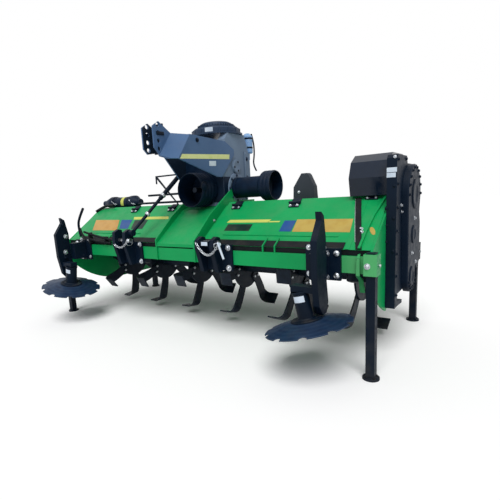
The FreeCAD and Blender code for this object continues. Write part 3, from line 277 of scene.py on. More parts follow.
# %% Painted finishes
def painted(name, colour, shade, gloss=0.35, peel=9 * MM, depth=0.12, chip_colour="#6C7886",
            dirt=0.08, sheen=0.25, local=None):
    """Gloss is the roughness. Local is a mask's function and the colour that it lets through."""
    material, place = new_material(name)
    coats = [colour, (clouds(material, place, 350 * MM, 2.0, 0.35, 0.65), shade)]
    if local:
        where, tint = local
        coats.append((where(material, place), tint))
    rounded, rim = edges(material, 3.5 * MM)
    crumbs = clouds(material, place, 12 * MM, 4.0, 0.45, 0.62, high=0.25)
    chipped = add_node(material, "ShaderNodeMath", {"operation": "MULTIPLY", 0: rim, 1: crumbs})
    coats += [(chipped, chip_colour), (dust(material, place, dirt), SOIL)]
    skin = add_node(material, "ShaderNodeTexNoise",
                    {"Vector": place, "Scale": 1 / peel, "Detail": 2.0})
    rough = clouds(material, place, 40 * MM, 5.0, 0.3, 0.7, gloss - 0.05, gloss + 0.12)
    return finish(material, coats, skin, rounded, depth, 1.5 * MM,
                  {"Roughness": rough, "Specular IOR Level": sheen})


# %% The coats
# Sprayed two-pack enamel on folded sheet steel: even, fairly glossy, slightly wavy reflections.
# Its forward faces near the drive end get painted light, a paler green.
GREEN_ENAMEL = painted("green_enamel_on_sheet", "#0A9B55", "#078F4E", gloss=0.34, sheen=0.16,
                       local=(lit_drive_end_front, "#4FA768"))
# The same enamel in blue-grey on thick plate, a little flatter; its inner faces get painted shade.
BLUE_GREY_ENAMEL = painted("blue_grey_enamel_on_plate", "#46658C", "#3C5B81", gloss=0.38,
                           local=(shaded_inner_faces, "#13202F"))
# Satin powder coat: soft sheen, faint texture, pale scuffs at the corners.
BLACK_POWDER = painted("black_powder_coat", "#071728", "#061321", gloss=0.45, depth=0.2,
                       chip_colour="#33404E", sheen=0.12)
# Black enamel on pressed sheet, glossy enough to mirror the sky in its top facet.
GLOSS_BLACK = painted("gloss_black_enamel", "#0C1C30", "#0A1829", gloss=0.10, dirt=0.02,
                      sheen=0.35)
# Grey enamel on cast iron: the sand casting shows through as a coarse skin.
GREY_CASTING = painted("grey_painted_casting", "#72859C", "#64768C", gloss=0.45, peel=14 * MM,
                       depth=0.45, sheen=0.15)
# Darker slate enamel of the cooling cover.
SLATE_CASTING = painted("slate_painted_casting", "#22364F", "#1D2F47", gloss=0.42,
                        peel=14 * MM, depth=0.35)
# Old primer on the board's post, chalky and grey.
WEATHERED_PRIMER = painted("weathered_primer", "#393E46", "#2F343B", gloss=0.6, sheen=0.15,
                           dirt=0.15)
print("painted finishes:", [m.name for m in bpy.data.materials])

# %% [markdown]
# ## Bare and plated metal
# Bolts and pins are zinc plated, which is bright with cloudy grey patches. The discs and blades
# are hardened boron steel under a thin dark lacquer that rubs off where soil slides past, so
# the discs get paler rings that run round the hub. A Wave texture draws them from each disc's
# own middle, which a picture wrapped on the disc would need an unwrapped mesh for.

# %% Metals
def metal(name, colour, shade, rough, cloud, metallic=1.0, depth=0.1, dirt=0.1, hub=None):
    """Cloud is the size of its patches. Hub is the point that rubbed rings run round, where a
    piece has them."""
    material, place = new_material(name)
    coats = [colour, (clouds(material, place, cloud, 5.0, 0.38, 0.64), shade)]
    if hub is None:
        skin = add_node(material, "ShaderNodeTexNoise",
                        {"Vector": place, "Scale": 1 / cloud, "Detail": 5.0})
    else:
        centred = add_node(material, "ShaderNodeMapping", {"Vector": place, "Location": -hub})
        skin = add_node(material, "ShaderNodeTexWave",
                        {"Vector": centred, "wave_type": "RINGS", "rings_direction": "SPHERICAL",
                         "Scale": 1 / (110 * MM), "Distortion": 2.5, "Detail": 3.0}, "Fac")
        rubbed = add_node(material, "ShaderNodeMapRange",
                          {"Value": skin, "From Min": 0.2, "To Max": 0.2})
        coats.append((rubbed, "#3A4F6B"))
    rounded, rim = edges(material, 2 * MM)
    bright = add_node(material, "ShaderNodeMath", {"operation": "MULTIPLY", 0: rim, 1: 0.25})
    coats += [(dust(material, place, dirt), PALE_SOIL), (bright, "#A9AEB4")]
    smear = clouds(material, place, cloud, 5.0, 0.3, 0.7, rough - 0.06, rough + 0.1)
    return finish(material, coats, skin, rounded, depth, 1 * MM,
                  {"Roughness": smear, "Metallic": metallic, "Specular IOR Level": 0.2})


# %% Zinc and steels
# Electroplated zinc on bolts, pins and chain: bright, with cloudy grey patches.
ZINC = metal("zinc_plated_steel", "#D5D9DD", "#A9B0B8", 0.34, 9 * MM)
# Machined steel of shafts: darker than zinc but smoother, finely turned.
TURNED_STEEL = metal("turned_steel", "#B8BDC4", "#9298A0", 0.28, 16 * MM)
# Heat-treated blade steel with dark scale and a cool sheen.
BLADE_STEEL = metal("forged_blade_steel", "#101B29", "#1A2635", 0.45, 35 * MM, metallic=0.3,
                    depth=0.4, dirt=0.15)
# Blue-black lacquered disc steel, one material a disc because its rings run round the hub.
DISC_STEEL = {name: metal("lacquered_disc_steel_" + name, "#16304E", "#112642", 0.45, 60 * MM,
                          metallic=0.2, depth=0.15, dirt=0.05,
                          hub=sum(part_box("coulter_disc_" + name), Vector()) / 2)
              for name in ("left", "right")}
print("metals:", [m.name for m in (ZINC, TURNED_STEEL, BLADE_STEEL, *DISC_STEEL.values())])

# %% [markdown]
# ## Plastics, rubber and vinyl
# The shaft guards are injection moulded polypropylene: nearly black, matt, with a fine leathery
# grain that scuffs grey. The oil canister is blow moulded polyethylene, so light passes into it,
# which the shader's subsurface part does. Stickers are printed vinyl with a satin film, slightly
# faded in patches.

# %% Moulded finishes
def moulded(name, colour, scuff, rough, depth=0.25, inner=0.0, dirt=0.06):
    """Inner is the share of light that passes into the plastic."""
    material, place = new_material(name)
    scuffs = clouds(material, place, 70 * MM, 6.0, 0.45, 0.75)
    rounded, rim = edges(material, 3 * MM)
    rubbed = add_node(material, "ShaderNodeMath", {"operation": "MULTIPLY", 0: rim, 1: 0.35})
    either = add_node(material, "ShaderNodeMath", {"operation": "MAXIMUM", 0: scuffs, 1: rubbed})
    coats = [colour, (either, scuff), (dust(material, place, dirt), PALE_SOIL)]
    grain = add_node(material, "ShaderNodeTexNoise",
                     {"Vector": place, "Scale": 1 / (5 * MM), "Detail": 2.0})
    satin = clouds(material, place, 70 * MM, 6.0, 0.3, 0.7, rough - 0.04, rough + 0.08)
    return finish(material, coats, grain, rounded, depth, 0.8 * MM,
                  {"Roughness": satin, "Specular IOR Level": 0.15, "Subsurface Weight": inner,
                   "Subsurface Radius": (0.03, 0.04, 0.05), "Subsurface Scale": 0.5})


# %% Plastics, rubber and vinyl
GUARD_PLASTIC = moulded("moulded_polypropylene", "#04162A", "#0A2036", 0.48)
CANISTER_PLASTIC = moulded("blown_polyethylene", "#86A9D2", "#7699C5", 0.38, inner=0.6)
RUBBER = moulded("black_rubber", "#0C1014", "#161B20", 0.62)
TINTS = {   # each as printed and as faded
    "cream": ("#DFE3A0", "#D2DA8E"), "amber": ("#B9A052", "#B09146"),
    "blue": ("#124A8C", "#1A4F86"), "black": ("#0B2620", "#12302A"),
    "white": ("#CFDBE8", "#BCCBDB"), "orange": ("#C29752", "#B98B49"),
    "yellow": ("#C9CE66", "#BFC45C"),
}
VINYL = {name: moulded("printed_vinyl_" + name, colour, faded, 0.33, depth=0.05, dirt=0.12)
         for name, (colour, faded) in TINTS.items()}
print(len(bpy.data.materials), "materials")

# %% [markdown]
# ## Materials for the CAD nodes
# Each solid is given its finish by what it is made of. A line for each of the 59 nodes would be
# long, so the rule is a list of name beginnings, and the first that fits counts. Everything that
# isn't named is black powder coat.

# %% Dress the CAD nodes
FINISHES = [
    (("end_plate", "rotor_hood", "cover_left", "cover_right", "cover_drive_end", "cover_legs",
      "centre_", "rear_board", "front_beam", "stand_socket"), GREEN_ENAMEL),
    (("clutch_guard",), GLOSS_BLACK), (("board_post",), WEATHERED_PRIMER),
    (("headstock_left", "headstock_right"), BLUE_GREY_ENAMEL),
    (("gearbox",), GREY_CASTING), (("cooling_dome",), SLATE_CASTING),
    (("coulter_disc_left",), DISC_STEEL["left"]), (("coulter_disc_right",), DISC_STEEL["right"]),
    (("rotor_blades", "rotor_flanges", "rotor_tube", "pto_input_shaft"), BLADE_STEEL),
    (("lower_pin", "side_output_shaft", "side_input_shaft"), TURNED_STEEL),
    (("pto_guard", "side_guard", "drive_shaft"), GUARD_PLASTIC),
    (("oil_canister",), CANISTER_PLASTIC), (("cover_edge_strips",), RUBBER),
]
for name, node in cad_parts.items():
    coating = next((m for starts, m in FINISHES if name.startswith(starts)), BLACK_POWDER)
    node.data.materials.clear()
    node.data.materials.append(coating)
print("dressed", len(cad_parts), "nodes")

# %% [markdown]
# ## Keeping a piece
# New pieces are drawn into a bmesh with Blender's own operators and then kept as objects. The
# edit-mode tools would do the same by hand, but a bmesh does it again each time the script runs.
# A kept piece gets its material, smooth shading with sharp edges, and the body that it rides on.

# %% Keep
SHARP_FROM = math.radians(35)


def keep(name, shape, material, body="frame"):
    """Make a finished bmesh a piece that rides on a body of the machine."""
    bmesh.ops.remove_doubles(shape, verts=shape.verts, dist=1e-5)
    bmesh.ops.recalc_face_normals(shape, faces=shape.faces)
    mesh = bpy.data.meshes.new(name)
    shape.to_mesh(mesh)
    shape.free()
    mesh.materials.append(material)
    mesh.polygons.foreach_set("use_smooth", [True] * len(mesh.polygons))
    mesh.set_sharp_from_angle(angle=SHARP_FROM)
    piece = bpy.data.objects.new(name, mesh)
    bpy.context.scene.collection.objects.link(piece)
    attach(piece, body)
    print(name, len(mesh.polygons), "faces")
    return piece


# %% Soften
def soften(shape, verts, width, segments=2):
    """Bevel the sharp edges between the vertices."""
    rims = list({e for v in verts for e in v.link_edges if len(e.link_faces) == 2
                 and e.calc_face_angle(0) > math.radians(30)})
    bmesh.ops.bevel(shape, geom=rims, offset=width, offset_type="OFFSET", affect="EDGES",
                    segments=segments, profile=0.5, material=-1, clamp_overlap=True)


# %% [markdown]
# ## Blocks, rods and sheets
# A block is a cube that is scaled and bevelled, and a rod is a cone with two equal ends. A sheet
# is one face pushed to its thickness, which follows a sloping surface without any turning.

# %% Blocks and rods
def block(shape, corner, opposite, edge=0.002):
    """A box between two opposite corners, with softened edges."""
    corner, opposite = Vector(corner), Vector(opposite)
    size = [abs(v) for v in opposite - corner]
    fit = Matrix.Translation((corner + opposite) / 2) @ Matrix.Diagonal((*size, 1))
    made = bmesh.ops.create_cube(shape, size=1, matrix=fit)["verts"]
    if edge:
        soften(shape, made, edge)


def rod(shape, foot, along, radius, length, sides=20, end_radius=None, edge=0.0):
    """A round or many-sided bar from its foot along a direction."""
    along = Vector(along).normalized()
    fit = (Matrix.Translation(Vector(foot) + along * length / 2)
           @ along.to_track_quat("Z", "Y").to_matrix().to_4x4())
    made = bmesh.ops.create_cone(shape, cap_ends=True, segments=sides, radius1=radius,
                                 radius2=radius if end_radius is None else end_radius,
                                 depth=length, matrix=fit)["verts"]
    if edge:
        soften(shape, made, edge, 1)


# %% Sheets and ribs
def oblong(left, right, low, high):
    """The corners of an upright oblong, as pairs."""
    return [(left, low), (right, low), (right, high), (left, high)]


def slab(shape, corners, thickness):
    """One flat face through the corners, pushed along its normal to a thickness."""
    face = shape.faces.new([shape.verts.new(c) for c in corners])
    face.normal_update()
    push = face.normal * thickness
    made = bmesh.ops.extrude_face_region(shape, geom=[face])["geom"]
    verts = [v for v in made if isinstance(v, bmesh.types.BMVert)]
    bmesh.ops.translate(shape, verts=verts, vec=push)


def cover_sheet(shape, corners, thickness, lift=0.0):
    """A sheet on the covers through (along the machine, up the slope) corners."""
    slab(shape, [on_cover(x, up, lift) for x, up in corners], thickness)


def rib(shape, foot, end, half, thickness):
    """A straight flat bar from foot to end, a given half width to each side along the machine."""
    slab(shape, [foot - RIGHT * half, foot + RIGHT * half, end + RIGHT * half,
                 end - RIGHT * half], thickness)


# %% [markdown]
# ## Bolts and turned pieces
# A bolt is a hexagon with a chamfered top on a washer, sized by its spanner as a real one is.
# Anything round is a profile spun about an axis, as on a lathe, which needs fewer numbers than
# stacked cylinders.

# %% Bolts
WASHER_RADIUS, WASHER_WALL = 0.95, 0.12   # shares of the size across flats
CORNER_RADIUS, HEAD_HEIGHT = 0.577, 0.5
CHAMFER_TOP, CHAMFER_HEIGHT = 0.38, 0.1


def bolt(shape, seat, along, size=0.016, washer=True):
    """A hexagon head on its washer, with the chamfer of its top. Size is across flats."""
    seat, along = Vector(seat), Vector(along).normalized()
    if washer:
        rod(shape, seat, along, size * WASHER_RADIUS, size * WASHER_WALL, 16)
        seat = seat + along * size * WASHER_WALL
    rod(shape, seat, along, size * CORNER_RADIUS, size * HEAD_HEIGHT, 6)
    rod(shape, seat + along * size * HEAD_HEIGHT, along, size * 0.5, size * CHAMFER_HEIGHT, 12,
        size * CHAMFER_TOP)


def bolt_ring(shape, centre, axis, first, count, size):
    """Bolts evenly round an axis. First is the way from the centre to the first one."""
    for index in range(count):
        around = Matrix.Rotation(index / count * 2 * math.pi, 3, axis)
        bolt(shape, centre + around @ Vector(first), axis, size)


# %% Turned pieces
def turned(shape, origin, axis, profile, steps=32):
    """Spin a profile of (distance along the axis, radius) round the axis."""
    axis = Vector(axis).normalized()
    across = axis.orthogonal().normalized()
    verts = [shape.verts.new(Vector(origin) + axis * d + across * r) for d, r in profile]
    line = [shape.edges.new(pair) for pair in zip(verts, verts[1:])]
    bmesh.ops.spin(shape, geom=verts + line, cent=Vector(origin), axis=axis, steps=steps,
                   angle=2 * math.pi, use_merge=True)


def band(shape, middle, axis, half, inner, outer, steps):
    """A flat ring round a tube, a given half width to each side of its middle."""
    turned(shape, middle, axis, [(-half, inner), (-half, outer), (half, outer), (half, inner)],
           steps)


# %% [markdown]
# ## Bent bars and chain
# A bent bar is taken from a curve with a round bevel, because a curve bends evenly where a chain
# of rods would kink. A pin on a farm machine is tied on by a short chain so that it can't be
# lost. One link is a thin ring, stretched, and the links are placed along a sagging line, each
# turned a quarter round from the one before.

# %% Bent bars
def bent_rod(shape, points, radius):
    """A round bar bent along points."""
    curve = bpy.data.curves.new("bend", "CURVE")
    curve.dimensions, curve.bevel_depth, curve.bevel_resolution = "3D", radius, 3
    curve.use_fill_caps, curve.resolution_u = True, 5
    spline = curve.splines.new("NURBS")
    spline.points.add(len(points) - 1)
    for point, place in zip(spline.points, points):
        point.co = (*place, 1)
    spline.order_u, spline.use_endpoint_u = 3, True
    holder = bpy.data.objects.new("bend", curve)
    made = bpy.data.meshes.new_from_object(holder)
    shape.from_mesh(made)
    bpy.data.objects.remove(holder)
    bpy.data.curves.remove(curve)
    bpy.data.meshes.remove(made)


# %% Chain
PITCH_OF_LINKS, WIRE_RADIUS = 0.022, 0.0024
LINK_STRETCH = Matrix.Diagonal((1.5, 0.85, 1, 1))


def chain(shape, start, end, sag):
    """Links from start to end, hanging down by sag in the middle."""
    start, end = Vector(start), Vector(end)
    span = (end - start).length
    count = max(3, round(span * (1 + 4 * (sag / span) ** 2) / PITCH_OF_LINKS))
    spots = [start.lerp(end, i / count) - UP * (4 * sag * (i / count) * (1 - i / count))
             for i in range(count + 1)]
    upended = Matrix.Rotation(math.pi / 2, 4, "X")
    for index, (a, b) in enumerate(zip(spots, spots[1:])):
        basis = (b - a).normalized().to_track_quat("X", "Z").to_matrix().to_4x4()
        quarter = Matrix.Rotation(math.pi / 2 * (index % 2), 4, "X")
        fit = Matrix.Translation((a + b) / 2) @ basis @ quarter @ LINK_STRETCH
        aside = Matrix.Translation((PITCH_OF_LINKS * 0.42, 0, 0))
        before = set(shape.verts)
        ring = bmesh.ops.create_circle(shape, segments=5, radius=WIRE_RADIUS,
                                       matrix=aside @ upended)["verts"]
        rim = list({e for v in ring for e in v.link_edges})
        bmesh.ops.spin(shape, geom=ring + rim, cent=(0, 0, 0), axis=UP, steps=10,
                       angle=2 * math.pi, use_merge=True)
        link = [v for v in shape.verts if v not in before]
        bmesh.ops.transform(shape, matrix=fit, verts=link)


# %% [markdown]
# ## Stickers on the covers
# The covers carry yellow stripes, a dark name plate, a blue block and a long amber panel. They
# stay blank here. They could be painted in the cover's material, but a real sticker has an edge,
# so each is a sheet of vinyl 0.6 mm thick that lies on the slope of the cover. Its corners are
# given along the machine and up the slope.

# %% Cover stickers
VINYL_WALL, VINYL_LIFT = 0.6 * MM, 0.2 * MM
COVER_STICKERS = {
    "stripe_right": ("yellow", [(0.362, 0.246), (0.725, 0.246), (0.740, 0.278), (0.377, 0.278)]),
    "stripe_right_thin": ("yellow",
                          [(0.728, 0.247), (0.815, 0.247), (0.822, 0.260), (0.735, 0.260)]),
    "name_plate_right": ("black", oblong(0.385, 0.608, 0.154, 0.228)),
    "block_right": ("blue", oblong(0.853, 0.943, 0.152, 0.264)),
    "panel_right": ("amber", [(0.953, 0.150), (1.340, 0.150), (1.328, 0.274), (0.945, 0.274)]),
    "panel_left": ("orange",
                   [(-1.267, 0.145), (-0.885, 0.147), (-0.985, 0.300), (-1.372, 0.305)]),
    "block_left": ("blue", [(-0.872, 0.172), (-0.748, 0.172), (-0.790, 0.300), (-0.950, 0.300)]),
    "name_plate_left": ("black",
                        [(-0.70, 0.170), (-0.545, 0.170), (-0.565, 0.292), (-0.748, 0.292)]),
    "stripe_left": ("yellow",
                    [(-0.775, 0.302), (-0.310, 0.300), (-0.330, 0.336), (-0.800, 0.340)]),
}


def sticker(name, tint, corners):
    """A blank sheet of vinyl through its corners."""
    shape = bmesh.new()
    slab(shape, corners, VINYL_WALL)
    keep("sticker_" + name, shape, VINYL[tint])


for name, (tint, corners) in COVER_STICKERS.items():
    sticker(name, tint, [on_cover(x, up, VINYL_LIFT) for x, up in corners])

# %% [markdown]
# ## Beads, strips and latches on the covers
# A pressed bead stiffens the foot of each long cover, and a black rubber sheet along its lowest
# edge is painted shade for the darker foot of the slope. A slanting rubber strip closes the joint
# between the long cover and the short one at the drive end, with a thin zinc strip along its left
# side as a painted highlight of the lid's rolled edge. Black steel latches hold the covers' top
# edges. All are sheets on the slope, so they sit on it whatever its angle.

# %% Cover beads and painted shade at the covers' foot
SLOPE_LENGTH = 0.5016
beads, shade_strips = bmesh.new(), bmesh.new()
for first, last in ((0.400, 1.280), (-1.270, -0.520)):
    cover_sheet(beads, oblong(first, last, 0.106, 0.118), 0.005)
# A black rubber sheet along each long cover's foot is painted shade where the slope is darker at
# the bottom.
for first, last in ((0.250, 1.340), (-1.340, -0.250)):
    cover_sheet(shade_strips, oblong(first, last, 0.002, 0.058), 0.004)
soften(beads, beads.verts, 0.003)
keep("cover_beads", beads, GREEN_ENAMEL)
keep("cover_foot_shade_strips", shade_strips, RUBBER)

# %% Seam strip and the painted highlight on its edge
SEAM = (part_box("cover_right")[1].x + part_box("cover_drive_end")[0].x) / 2
HIGHLIGHT_WIDTH = 0.003
STRIP_LEFT = [(1.293, 0.470), (1.344, 0.262), (1.398, 0.059)]
STRIP_RIGHT = [(1.329, 0.470), (1.381, 0.262), (1.433, 0.059)]
joint, strip, edge_highlight = bmesh.new(), bmesh.new(), bmesh.new()
cover_sheet(joint, oblong(SEAM - 0.016, SEAM + 0.016, 0.003, SLOPE_LENGTH - 0.003), 0.0015)
keep("seam_joint", joint, GREEN_ENAMEL)
# The thin zinc strip along its left side is a painted highlight, the light on the lid's rolled
# edge.
for a, b, c, d in zip(STRIP_LEFT, STRIP_RIGHT, STRIP_RIGHT[1:], STRIP_LEFT[1:]):
    cover_sheet(strip, [d, c, b, a], 0.008)
    cover_sheet(edge_highlight, [(d[0] - HIGHLIGHT_WIDTH, d[1]), d, a, (a[0] - HIGHLIGHT_WIDTH, a[1])], 0.009)
cover_sheet(strip, [(1.413, 0.003), (1.447, 0.003), (1.433, 0.059), (1.398, 0.059)], 0.008)
keep("seam_strip", strip, RUBBER)
keep("seam_edge_highlight", edge_highlight, ZINC)

# %% Latches on the covers' top edge
LATCHES = ((0.36, 0.405), (0.865, 0.405), (1.395, 0.455), (-0.36, 0.405), (-0.865, 0.405))
latches, latch_bolts = bmesh.new(), bmesh.new()
for x, foot in LATCHES:
    cover_sheet(latches, [(x - 0.040, foot), (x + 0.040, foot),
                          (x + 0.034, SLOPE_LENGTH), (x - 0.034, SLOPE_LENGTH)], 0.009)
    rod(latches, on_cover(x - 0.046, foot + 0.040, 0.014), RIGHT, 0.010, 0.092, 14)
    for shift in (-0.027, 0.027):
        bolt(latch_bolts, on_cover(x + shift, foot + 0.014, 0.009), SLOPE_NORMAL, 0.012)
soften(latches, latches.verts, 0.002, 1)
keep("cover_latches", latches, BLACK_POWDER)
keep("cover_latch_bolts", latch_bolts, ZINC)

# %% [markdown]
# ## The drive end of the covers
# A flanged plate stands up from the short cover beside the gear case and runs down over the
# beam's end, where its lip widens towards the foot. It is one bent sheet, drawn as short flat
# ones that follow its line. An oval sticker sits beside it.

# %% Flanged plate
SLOPE_LIP = [(1.490, SLOPE_LENGTH - 0.002), (1.478, 0.440), (1.452, 0.300), (1.440, 0.150),
             (1.436, 0.004)]
BEAM_LIP = [(-0.020, 0.721), (-0.030, 0.700), (-0.030, 0.600), (0.031, 0.564), (0.074, 0.479)]
LIP_INSIDE, LIP_OUTSIDE, LIP_DEPTH, LIP_FLARE = 1.444, 1.452, 0.030, 0.004
shape = bmesh.new()
for (x0, up0), (x1, up1) in zip(SLOPE_LIP, SLOPE_LIP[1:]):
    cover_sheet(shape, [(x1 - 0.010, up1), (x1 + 0.004, up1), (x0 + 0.004, up0),
                        (x0 - 0.008, up0)], 0.016)
for index, ((y0, z0), (y1, z1)) in enumerate(zip(BEAM_LIP, BEAM_LIP[1:])):
    slab(shape, [at(LIP_INSIDE, y0, z0), at(LIP_INSIDE, y1, z1),
                 at(LIP_INSIDE, y1 + LIP_DEPTH, z1), at(LIP_INSIDE, y0 + LIP_DEPTH, z0)],
         LIP_INSIDE - LIP_OUTSIDE)
    near = LIP_OUTSIDE - 0.014 - index * LIP_FLARE
    slab(shape, [at(near - LIP_FLARE, y1, z1), at(LIP_OUTSIDE, y1, z1),
                 at(LIP_OUTSIDE, y0, z0), at(near, y0, z0)], 0.003)
keep("drive_end_flange", shape, GREEN_ENAMEL)

# %% Oval sticker and cover bolts
oval = [(math.cos(step * math.pi / 16), math.sin(step * math.pi / 16)) for step in range(32)]
sticker("oval", "amber", [on_cover(1.470 + 0.015 * a - 0.014 * b, 0.163 + 0.034 * b, VINYL_LIFT)
                          for a, b in oval])
shape = bmesh.new()
for x, up in ((1.399, 0.180), (1.408, 0.153)):
    bolt(shape, on_cover(x, up), SLOPE_NORMAL, 0.014)
socket_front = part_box("stand_socket_front_right")[0].y
bolt(shape, (1.505, socket_front, GROUND + 0.666), FRONT, 0.018)
keep("cover_bolts", shape, ZINC)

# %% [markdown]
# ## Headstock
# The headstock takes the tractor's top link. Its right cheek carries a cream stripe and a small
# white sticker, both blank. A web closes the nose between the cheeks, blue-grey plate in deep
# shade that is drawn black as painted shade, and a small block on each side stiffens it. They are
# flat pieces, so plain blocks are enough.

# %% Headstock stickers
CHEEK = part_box("headstock_right")[1].x
CHEEK_STICKERS = {
    "cheek_stripe": ("cream", [(-0.094, 1.366), (0.500, 1.386), (0.506, 1.424), (-0.070, 1.399)]),
    "cheek_white": ("white", [(0.231, 1.324), (0.316, 1.327), (0.319, 1.365), (0.234, 1.362)]),
}
for name, (tint, corners) in CHEEK_STICKERS.items():
    sticker(name, tint, [at(CHEEK + VINYL_LIFT, y, z) for y, z in corners])

# %% Headstock web in painted shade, blocks and bolt
NOSE = 0.062
shape = bmesh.new()
bolt(shape, at(CHEEK, 0.106, 1.508), RIGHT, 0.018)
for mark in (-1, 1):
    block(shape, at(mark * NOSE - 0.008, -0.157, 1.543), at(mark * NOSE + 0.008, -0.086, 1.568),
          0.003)
# The web is blue-grey plate in deep shade, drawn black as painted shade.
block(shape, at(-0.050, -0.085, 1.420), at(0.050, -0.070, 1.630))
keep("headstock_web_in_shade", shape, BLACK_POWDER)

# %% [markdown]
# ## Cooling dome
# The dome stands on a round flange on top of the gearbox. A thick drum rings its foot, vertical
# fins run round above it, and bolts hold the drum down. A blank plate is riveted to its side.
# The drum is turned, and one fin is copied round it, which keeps the fins even.

# %% Dome fins and drum
DOME_FOOT = Vector((0, BEAM_FRONT + 0.622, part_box("cooling_dome")[0].z + 0.014))
DRUM = [(0.0005, 0.150), (0.0005, 0.208), (0.004, 0.211), (0.034, 0.211), (0.038, 0.207),
        (0.040, 0.192), (0.050, 0.190), (0.054, 0.156), (0.054, 0.150)]
fins, drum = bmesh.new(), bmesh.new()
for count, radius, height, size in ((40, 0.153, 0.062, (0.014, 0.006, 0.030)),
                                    (16, 0.205, 0.019, (0.018, 0.016, 0.034))):
    for index in range(count):
        around = (Matrix.Translation(DOME_FOOT + UP * height)
                  @ Matrix.Rotation(index / count * 2 * math.pi, 4, "Z"))
        bmesh.ops.create_cube(fins, size=1, matrix=around @ Matrix.Translation((radius, 0, 0))
                              @ Matrix.Diagonal((*size, 1)))
keep("dome_fins", fins, SLATE_CASTING)
turned(drum, DOME_FOOT, UP, DRUM, 72)
keep("dome_drum", drum, SLATE_CASTING)

# %% Dome bolts and plate
bolts, plate = bmesh.new(), bmesh.new()
first = Matrix.Rotation(0.2, 3, "Z") @ Vector((0.175, 0, 0))
bolt_ring(bolts, DOME_FOOT + UP * 0.049, UP, first, 12, 0.015)
keep("dome_bolts", bolts, BLACK_POWDER)
turn = Matrix.Rotation(math.radians(21.5), 3, "Z")
slab(plate, [DOME_FOOT + turn @ Vector((a, -0.2145, b))
             for a, b in oblong(-0.034, 0.034, 0.0, 0.036)], 0.0015)
keep("dome_plate", plate, VINYL["white"])

# %% [markdown]
# ## Gearbox
# The gearbox is an iron casting: ribs run down its sides and its back, and bearing caps are
# bolted on where shafts leave it. Caps are turned pieces and ribs are blocks, both in the
# casting's own paint, so that they read as one lump of iron.

# %% Gearbox side caps and ribs
CROSS_Y, CROSS_Z = 0.6, 1.15   # the cross shaft's axis, and the input shaft's height
BASE_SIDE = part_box("gearbox_base")[1].x
BOSS = at(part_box("gearbox")[1].x, 0.606, 1.331)
ribs, fasteners, dark = bmesh.new(), bmesh.new(), bmesh.new()
turned(ribs, BOSS, RIGHT, [(0, 0.052), (0.003, 0.050), (0.003, 0.030), (0.001, 0.026),
                           (0.001, 0.0)], 32)
# Dark discs on the cap are painted shade, for the inside of its holes.
for angle in (70, 190, 290):
    spoke = Matrix.Rotation(math.radians(angle), 3, "X") @ BACK
    rod(dark, BOSS + RIGHT * 0.003 + spoke * 0.038, RIGHT, 0.009, 0.001, 16)
keep("gearbox_cap_holes_in_shade", dark, RUBBER)
for mark in (-1, 1):
    face = mark * BASE_SIDE
    for z in (1.24, 1.40):
        bolt(fasteners, at(face, 0.78, z), RIGHT * mark, 0.018)
    for y, top in ((0.50, 1.20), (0.74, 1.46)):
        block(ribs, at(face, y, 1.05), at(face + mark * 0.010, y + 0.014, top), 0.003)
turned(ribs, at(BASE_SIDE, CROSS_Y, CROSS_Z), RIGHT,
       [(0, 0.125), (0.008, 0.123), (0.010, 0.118), (0.010, 0.088), (0, 0.088)], 40)
bolt_ring(fasteners, at(BASE_SIDE + 0.010, CROSS_Y, CROSS_Z), RIGHT, (0, 0.106, 0), 8, 0.014)

# %% Gearbox back
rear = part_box("gearbox")[1].y
rear_cap = Vector((0, rear, GROUND + 1.24))
for x in (-0.15, -0.05, 0.05):
    block(ribs, (x, rear - 0.001, GROUND + 1.24), (x + 0.012, rear + 0.010, GROUND + 1.43), 0.003)
turned(ribs, rear_cap, BACK, [(0, 0.085), (0.012, 0.083), (0.014, 0.070), (0.014, 0.0)], 32)
bolt_ring(fasteners, rear_cap + BACK * 0.014, BACK, (0.062, 0, 0), 6, 0.014)
keep("gearbox_ribs", ribs, GREY_CASTING)
keep("gearbox_bolts", fasteners, SLATE_CASTING)

# %% [markdown]
# ## Shaft guards
# The bell round the input shaft is a soft plastic cone. A black skirt closes the gearbox's foot
# behind it, and a round cover on its right side opens for greasing. The skirt is partly painted
# shade: its black stands for the gearbox's front and lower sides in deep shadow under the
# headstock. The cross shaft has its own bell, held by a band. Flat parts are thin blocks, and
# round ones are turned.

# %% Skirt, bands and cover of the shaft guards
GREASE_COVER = at(0.134, 0.243, 1.175)
skirt, rim = bmesh.new(), bmesh.new()
# The front and side plates are black as painted shade on the gearbox's shaded foot.
block(skirt, at(-0.1997, 0.4165, 1.040), at(0.1997, 0.4197, 1.420), 0.001)
for mark in (-1, 1):
    block(skirt, at(mark * 0.2000, 0.420, 1.040), at(mark * 0.2030, 0.690, 1.245), 0.001)
band(skirt, at(0, 0.395, CROSS_Z), BACK, 0.010, 0.139, 0.143, 48)
band(skirt, at(0.235, CROSS_Y, CROSS_Z), RIGHT, 0.009, 0.084, 0.088, 40)
band(skirt, at(0.3625, CROSS_Y, CROSS_Z), RIGHT, 0.1125, 0.080, 0.0852, 48)
turned(skirt, GREASE_COVER, RIGHT, [(0.0, 0.034), (0.007, 0.034), (0.009, 0.030), (0.009, 0.0)])
turned(rim, GREASE_COVER, RIGHT, [(0.0, 0.034), (0.0, 0.0365), (0.0085, 0.0365),
                                  (0.0095, 0.034)])
keep("guard_skirt_painted_shade", skirt, GUARD_PLASTIC)
keep("guard_cover_rim", rim, BLACK_POWDER)

# %% [markdown]
# ## Lower hitches
# Each lower link pin is held by a linch pin through its end, tied on by a chain. A T-shaped
# handle hangs on the right one, beside a blank label, and bolts hold each bracket to the beam.
# Collars are turned, and the linch pins' rings are bent bars.

